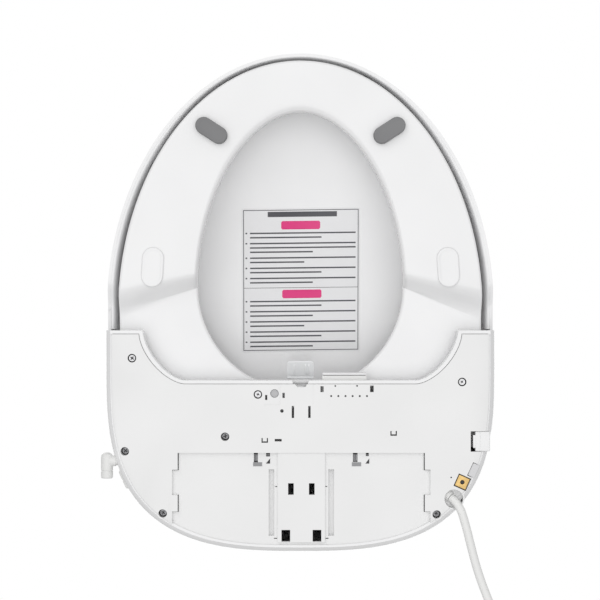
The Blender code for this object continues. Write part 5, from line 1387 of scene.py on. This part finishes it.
def make_screws():
    """Seven screws in the base, four of them at the bottom of deep holes, in darker steel as painted shade.
    """
    head_height = 2.0 * MM
    points = [Vector((x * MM, y * MM,
                      (DEEP_HEAD_Z if (x, y) in DEEP_SCREWS else SHALLOW_HEAD_Z) + head_height / 2))
              for x, y in SCREWS]
    sizes = {"Head radius": SCREW_HEAD_R, "Head height": head_height, "Shank radius": 1.6 * MM,
             "Shank length": 7 * MM, "Recess width": 1.15 * MM, "Recess depth": 2.6 * MM,
             "Material": DEEP_SCREW_SHADED_STEEL}
    # The deep screws take the darker steel: painted shade of their holes.
    for name, deep, finish in (("deep_screws", True, DEEP_SCREW_SHADED_STEEL), ("shallow_screws", False, STEEL)):
        chosen = [n for n, place in enumerate(SCREWS) if (place in DEEP_SCREWS) == deep]
        sizes["Material"] = finish
        piece(name, closed_bm(grown([points[n] for n in chosen], screw_tree(), sizes)), finish, 40,
              "housing", [f"base_screw_{n + 1}" for n in chosen])
    # Black crosses in the screws' recesses: painted shade.
    sizes["Material"] = BLACK_AND_SHADE
    piece("screw_recess_painted_shade", closed_bm(grown(points, screw_tree(recess_shade_only=True), sizes)), BLACK_AND_SHADE, 40,
          "housing")


# ====================================================================================
# Small parts
# ====================================================================================
def make_shutter():
    """The ribbed see-through flap over the nozzle's mouth."""
    slope = math.radians(38)
    down = Vector((0, -math.cos(slope), -math.sin(slope)))
    normal = Vector((0, -math.sin(slope), math.cos(slope)))
    hinge = Vector((0, 76.1, 21)) * MM
    half_w, length, thick, corner = 13.3 * MM, 21 * MM, 1.6 * MM, 3 * MM

    def flap_outline(inset):
        outline = [(-half_w + inset, 0), (half_w - inset, 0)]
        for side in (1, -1):
            turns = range(0, 91, 10) if side > 0 else range(90, -1, -10)
            for degrees in turns:
                a = math.radians(degrees)
                outline.append((side * (half_w - corner + (corner - inset) * math.cos(a)),
                                length - corner + (corner - inset) * math.sin(a)))
        return outline

    loops = []
    for inset, h in ((0.35 * MM, -thick / 2), (0, -thick / 2 + 0.35 * MM), (0, thick / 2 - 0.35 * MM),
                     (0.35 * MM, thick / 2)):
        loops.append([tuple(hinge + Vector((x, 0, 0)) + down * d + normal * h) for x,
                      d in flap_outline(inset)])
    bm = joined(loft_bm(loops),
                rod_bm(hinge - Vector((half_w, 0, 0)), hinge + Vector((half_w, 0, 0)), 1.7 * MM))
    ribs = []
    for x in (-6.4 * MM, 5.2 * MM, 8.6 * MM):
        rib = []
        for side in (-0.7 * MM, 0.7 * MM):
            rib.append([tuple(hinge + Vector((x + side, 0, 0)) + down * d + normal * h)
                        for d, h in ((3 * MM, 0), (18 * MM, 0), (17 * MM, -1.8 * MM), (4 * MM, -1.8 * MM))])
        ribs.append(rounded(loft_bm(rib), 0.25 * MM, 2))
    bm = joined(bm, *ribs)
    piece("splash_shutter", bm, CLEAR, 34, "shutter", ["nozzle_shutter"])


def make_air_flap():
    """The dryer's outlet flap with its barrel and a shallow panel."""
    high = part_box("dryer_flap")[1]
    middle_y = 72.4 * MM
    panel = rounded(box_bm((DUCT_X0, middle_y - 0.8 * MM, DUCT_Z0),
                           (DUCT_X1, middle_y + 0.8 * MM, high[2] - 1.2 * MM)),
                    0.4 * MM, 2)
    dish = box_bm((DUCT_X0 + 2 * MM, middle_y - 2 * MM, DUCT_Z0 + 1.6 * MM),
                  (DUCT_X1 - 2 * MM, middle_y - 0.4 * MM, high[2] - 3.6 * MM))
    bm = carved(panel, dish)
    barrel_z = DUCT_Z1 - 1.4 * MM
    bm = joined(bm, rod_bm((DUCT_X0, middle_y, barrel_z), (DUCT_X1, middle_y, barrel_z), 1.3 * MM, sides=28))
    piece("air_outlet_flap", bm, WHITE, 36, "air_flap", ["dryer_flap"])


def make_inlet():
    """The water inlet elbow with its collar, ribs and bore, and the clip beside it."""
    start = Vector((INLET_X, INLET_Y - 13 * MM, INLET_Z))
    profile = [(0, 0), (0.25 * MM, 2.2 * MM), (1.2 * MM, 4.2 * MM), (2.8 * MM, 5.5 * MM), (5 * MM, 6.0 * MM),
               (17.6 * MM, 6.0 * MM), (18 * MM, 5.6 * MM), (18.8 * MM, 5.6 * MM), (19.2 * MM, 6.0 * MM),
               (25.0 * MM, 6.0 * MM), (26 * MM, 5.2 * MM), (26 * MM, 4.0 * MM), (12 * MM, 4.0 * MM),
               (12 * MM, 0)]
    bm = turned_bm(start, start + Vector((0, 1, 0)), profile, 48)
    branch = Vector((INLET_X, INLET_Y - 4.5 * MM, INLET_Z))
    stub = turned_bm(branch, branch + Vector((1, 0, 0)),
                     [(0, 0), (0, 3 * MM), (1 * MM, 5.4 * MM), (9 * MM, 5.4 * MM), (9.4 * MM, 4.5 * MM),
                      (19.6 * MM, 4.5 * MM), (19.6 * MM, 0)], 40)
    bm = combined(bm, "UNION", stub)
    piece("water_inlet", bm, NATURAL, 36, "housing", ["inlet_elbow"])
    low, high = (Vector(corner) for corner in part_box("inlet_clip"))
    start, end = Vector((low.x + 2 * MM, low.y - 9 * MM, INLET_Z)), Vector((high.x + 1.5 * MM,
                                                                            high.y - 2 * MM, INLET_Z))
    length = (end - start).length
    clip = turned_bm(start, end, [(0, 0), (0.2 * MM, 1.4 * MM), (1.2 * MM, 2.6 * MM), (2.4 * MM, 2.9 * MM),
                                  (length * 0.45, 2.9 * MM), (length * 0.48, 2.4 * MM),
                                  (length * 0.55, 2.4 * MM),
                                  (length * 0.58, 2.9 * MM), (length - 1.2 * MM, 2.7 * MM),
                                  (length - 0.2 * MM, 1.6 * MM), (length, 0)], 32)
    piece("inlet_keeper", clip, NATURAL, 36, "housing", ["inlet_clip"])


def make_release_button():
    """The side button: rounded block with a groove and a raised light strip."""
    low, high = (Vector(corner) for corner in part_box("release_button"))
    block = rounded(box_bm(low, high), 1.1 * MM, 4)
    groove = box_bm((low.x + 4.6 * MM, low.y - EPS, low.z - EPS),
                    (low.x + 5.4 * MM, high.y + EPS, low.z + 0.5 * MM))
    strip = rounded(box_bm((low.x - 2.2 * MM, low.y + 3.6 * MM, low.z + 0.2 * MM),
                           (low.x + 0.6 * MM, high.y - 3.4 * MM, low.z + 2.2 * MM)), 0.3 * MM, 2)
    bm = joined(carved(block, groove), strip)
    piece("side_button", bm, WHITE, 36, "release", ["release_button"])


def make_power_button():
    """The key on top: a dished disc."""
    low, high = (Vector(corner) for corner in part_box("power_button"))
    tall = high.z - low.z
    profile = [(0, 0), (0, 6.4 * MM), (0.6 * MM, POWER_R), (tall - 0.8 * MM, POWER_R),
               (tall - 0.25 * MM, 6.8 * MM), (tall, 6.2 * MM), (tall - 0.35 * MM, 4.6 * MM),
               (tall - 0.55 * MM, 2.2 * MM), (tall - 0.6 * MM, 0)]
    bm = turned_bm((POWER_X, POWER_Y, low.z), (POWER_X, POWER_Y, high.z), profile, 56)
    piece("power_key_cap", bm, SATIN, 36, "power_key", ["power_button"])


def make_hinge_parts():
    """Pins and soft-close dampers."""
    for side, name in ((-1, "left"), (1, "right")):
        length = LID_LUG_X + LID_LUG_W - 1 * MM - LUG_X
        start = Vector((side * LUG_X, HINGE_Y, HINGE_Z))
        pin = turned_bm(start, start + Vector((side, 0, 0)),
                        [(0, 0), (0, 4.5 * MM), (0.5 * MM, 5 * MM), (length - 1 * MM, 5 * MM),
                         (length, 4 * MM), (length, 0)], 48)
        piece(f"pin_{name}", pin, STEEL, 36, "housing", [f"hinge_pin_{name}"])
        start = Vector((side * (LUG_X - GAP), HINGE_Y, HINGE_Z))
        body = [(0, 0), (0, 8.2 * MM), (0.8 * MM, 9 * MM), (4 * MM, 9 * MM), (4.4 * MM, 8.2 * MM),
                (19 * MM, 8.2 * MM), (19.4 * MM, 9 * MM), (22.6 * MM, 9 * MM), (23.7 * MM, 8 * MM),
                (23.7 * MM, 0)]
        damper = turned_bm(start, start - Vector((side, 0, 0)), body, 48)
        piece(f"damper_{name}", damper, BLACK_AND_SHADE, 36, "housing", [f"soft_close_damper_{name}"])


def make_gland():
    """The cord's tapered strain relief with its rings."""
    length = 26 * MM
    profile = [(0, 0), (0, 6.0 * MM), (0.6 * MM, 6.5 * MM)]
    steps = 6
    for k in range(steps):
        at = (3 + 3.6 * k) * MM
        radius = (6.5 - 1.15 * at / length) * MM
        profile += [(at, radius), (at + 0.3 * MM, radius - 0.45 * MM), (at + 1.1 * MM, radius - 0.5 * MM),
                    (at + 1.4 * MM, radius - 0.1 * MM)]
    profile += [(length - 0.7 * MM, 5.2 * MM), (length, 4.7 * MM), (length, 0)]
    start = CORD_EXIT - CORD_DIR * length
    piece("strain_relief", turned_bm(start, CORD_EXIT, profile, 40), CORD_SKIN, 36, "housing",
          ["cord_gland"])


def make_cord_pocket():
    """The lining of the round pocket that the cord leaves through."""
    top = 13 * MM
    wall = turned_bm((POCKET_X, POCKET_Y, BASE_T + 0.2 * MM), (POCKET_X, POCKET_Y, top),
                     [(0, 0), (0, POCKET_R + 1.4 * MM), (top - BASE_T - 0.2 * MM, POCKET_R + 1.4 * MM),
                      (top - BASE_T - 0.2 * MM, 0)], 56)
    hollow = rod_bm((POCKET_X, POCKET_Y, 0), (POCKET_X, POCKET_Y, top - 1.4 * MM), POCKET_R, sides=56)
    wall = carved(carved(wall, hollow), channel_bm(-EPS, 10.5 * MM))
    piece("cord_pocket", wall, SATIN, 36, "housing")


def make_plugs():
    """The grey disc, the drain plug and the brass insert in the base, with black painted shade in the gap
    round the insert and in its bore.
    """
    disc = turned_bm((SERVICE_X, SERVICE_Y, 6 * MM), (SERVICE_X, SERVICE_Y, 0.6 * MM),
                     [(0, 0), (0, SERVICE_R), (4.9 * MM, SERVICE_R), (5.4 * MM, SERVICE_R - 0.5 * MM),
                      (5.4 * MM, SERVICE_R - 1.2 * MM), (5.1 * MM, SERVICE_R - 1.5 * MM), (5.1 * MM, 0)], 48)
    piece("service_disc", disc, DISC_GREY, 36, "housing", ["service_plug"])
    turn = Matrix.Rotation(DRAIN_TURN, 4, "Z")
    block = rounded(box_bm((DRAIN_X - 3.7 * MM, DRAIN_Y - 6.8 * MM, 0.8 * MM),
                           (DRAIN_X + 3.7 * MM, DRAIN_Y + 6.8 * MM, 3.0 * MM), turn), 0.8 * MM, 4)
    piece("drain_stopper", block, PLUG_GREY, 36, "housing", ["drain_plug"])
    plate = rounded(nut_square_bm(0, 0.6 * MM, BASE_T), 0.45 * MM, 3)
    bm = joined(plate, rod_bm((NUT_X, NUT_Y, BASE_T - 1 * MM), (NUT_X, NUT_Y, 10 * MM), 4 * MM))
    bm = carved(bm, turned_bm((NUT_X, NUT_Y, 0), (NUT_X, NUT_Y, 7 * MM),
                              [(0, 0), (0, 2.7 * MM), (1.1 * MM, 1.9 * MM), (7 * MM, 1.9 * MM),
                               (7 * MM, 0)], 36))
    piece("threaded_insert", bm, BRASS, 36, "housing", ["brass_insert"])
    # A black frame in the gap round the insert: painted shade.
    gap_shade = carved(nut_square_bm(0.85 * MM, 1.6 * MM, 2.9 * MM), nut_square_bm(GAP / 3, -EPS, 5 * MM))
    piece("insert_gap_painted_shade", gap_shade, BLACK_AND_SHADE, 36, "housing")
    # A black disc in the insert's bore: painted shade.
    bore = turned_bm((NUT_X, NUT_Y, 1.9 * MM), (NUT_X, NUT_Y, 3 * MM),
                     [(0, 0), (0, 1.85 * MM), (0.8 * MM, 1.85 * MM), (0.8 * MM, 0)], 28)
    piece("insert_bore_painted_shade", bore, BLACK_AND_SHADE, 36, "housing")


# ====================================================================================
# Nodes that keep their shape and take a finish
# ====================================================================================
KEPT = {
    "seat_heater_foil": COPPER, "inlet_valve": NATURAL, "warm_water_tank": NATURAL, "supply_hose": CLEAR,
    "tank_heater": STEEL, "nozzle_tube": SATIN, "nozzle_tip": WHITE, "nozzle_rack": BLACK_AND_SHADE,
    "nozzle_pinion": NATURAL, "nozzle_motor": STEEL, "dryer_duct": NATURAL, "blower_housing": BLACK_AND_SHADE,
    "dryer_fan": NATURAL, "blower_motor": STEEL, "control_board": BOARD, "power_board": BOARD,
    "receiver_window": SMOKED, "release_bar": BAR_GREY_AND_SHADE,
}


def dress_kept_nodes():
    """Gives each carried-over node its material."""
    for name, mat in KEPT.items():
        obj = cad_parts[name]
        for slot in obj.material_slots:
            slot.material = mat


# ====================================================================================
# Floor, light and surroundings
# ====================================================================================
FLOOR_HALF, FLOOR_Z = 3, -0.2 * MM


def make_floor():
    """A pale floor that shows only from above, so that the underside can be looked at."""
    bm = bmesh.new()
    far = FLOOR_HALF
    corners = [bm.verts.new((x, y, FLOOR_Z)) for x, y in ((-far, -far), (far, -far), (far, far), (-far, far))]
    bm.faces.new(corners)
    mat, tree, shader, _ = blank_finish("pale_floor")
    shader.inputs["Base Color"].default_value = (0.86, 0.86, 0.86, 1)
    shader.inputs["Roughness"].default_value = 0.8
    facing = tree.nodes.new("ShaderNodeNewGeometry")
    clear = tree.nodes.new("ShaderNodeBsdfTransparent")
    mix = tree.nodes.new("ShaderNodeMixShader")
    tree.links.new(facing.outputs["Backfacing"], mix.inputs[0])
    tree.links.new(shader.outputs[0], mix.inputs[1])
    tree.links.new(clear.outputs[0], mix.inputs[2])
    tree.links.new(mix.outputs[0], tree.nodes["Material Output"].inputs["Surface"])
    mesh = mesh_of(bm, "floor")
    mesh.materials.append(mat)
    obj = new_object("floor", mesh)
    obj.visible_shadow = False
    obj.visible_diffuse = False
    obj.visible_glossy = False


def area_light(name, place, target, size, power):
    """A soft square light that looks at a point."""
    data = bpy.data.lights.new(name, "AREA")
    data.size = size
    data.energy = power
    obj = bpy.data.objects.new(name, data)
    obj.location = place
    obj.rotation_euler = (Vector(target) - Vector(place)).to_track_quat("-Z", "Y").to_euler()
    bpy.context.scene.collection.objects.link(obj)
    obj.visible_camera = False


SKY_SEEN, SKY_LIGHT = 1.0, 0.56


def make_light():
    """White surroundings and soft lights above and below."""
    world = bpy.data.worlds.new("studio")
    world.use_nodes = True
    tree = world.node_tree
    back = tree.nodes["Background"]
    back.inputs["Color"].default_value = (1, 1, 1, 1)
    rays = tree.nodes.new("ShaderNodeLightPath")
    strength = tree.nodes.new("ShaderNodeMapRange")
    strength.inputs["To Min"].default_value = SKY_LIGHT
    strength.inputs["To Max"].default_value = SKY_SEEN
    tree.links.new(rays.outputs["Is Camera Ray"], strength.inputs["Value"])
    tree.links.new(strength.outputs["Result"], back.inputs["Strength"])
    bpy.context.scene.world = world
    area_light("under_wide", (0, 0, -2.3), (0, 0, 0), 2.8, 27)
    area_light("under_key", (-0.9, -1.3, -1.5), (0, 0, 0), 1.0, 4)
    area_light("top_wide", (0.3, 0.2, 2.4), (0, 0, 0), 2.6, 13)
    area_light("top_key", (-1.2, -1.0, 1.7), (0, 0, 0.05), 1.0, 8)


bpy.context.scene.view_settings.view_transform = "Standard"

make_light()
make_floor()
make_lid()
make_label()
make_ring()
make_feet()
make_upper_housing()
make_base()
make_screws()
make_shutter()
make_air_flap()
make_inlet()
make_release_button()
make_power_button()
make_hinge_parts()
make_gland()
make_cord_pocket()
make_latch_window_shades()
make_plugs()
dress_kept_nodes()
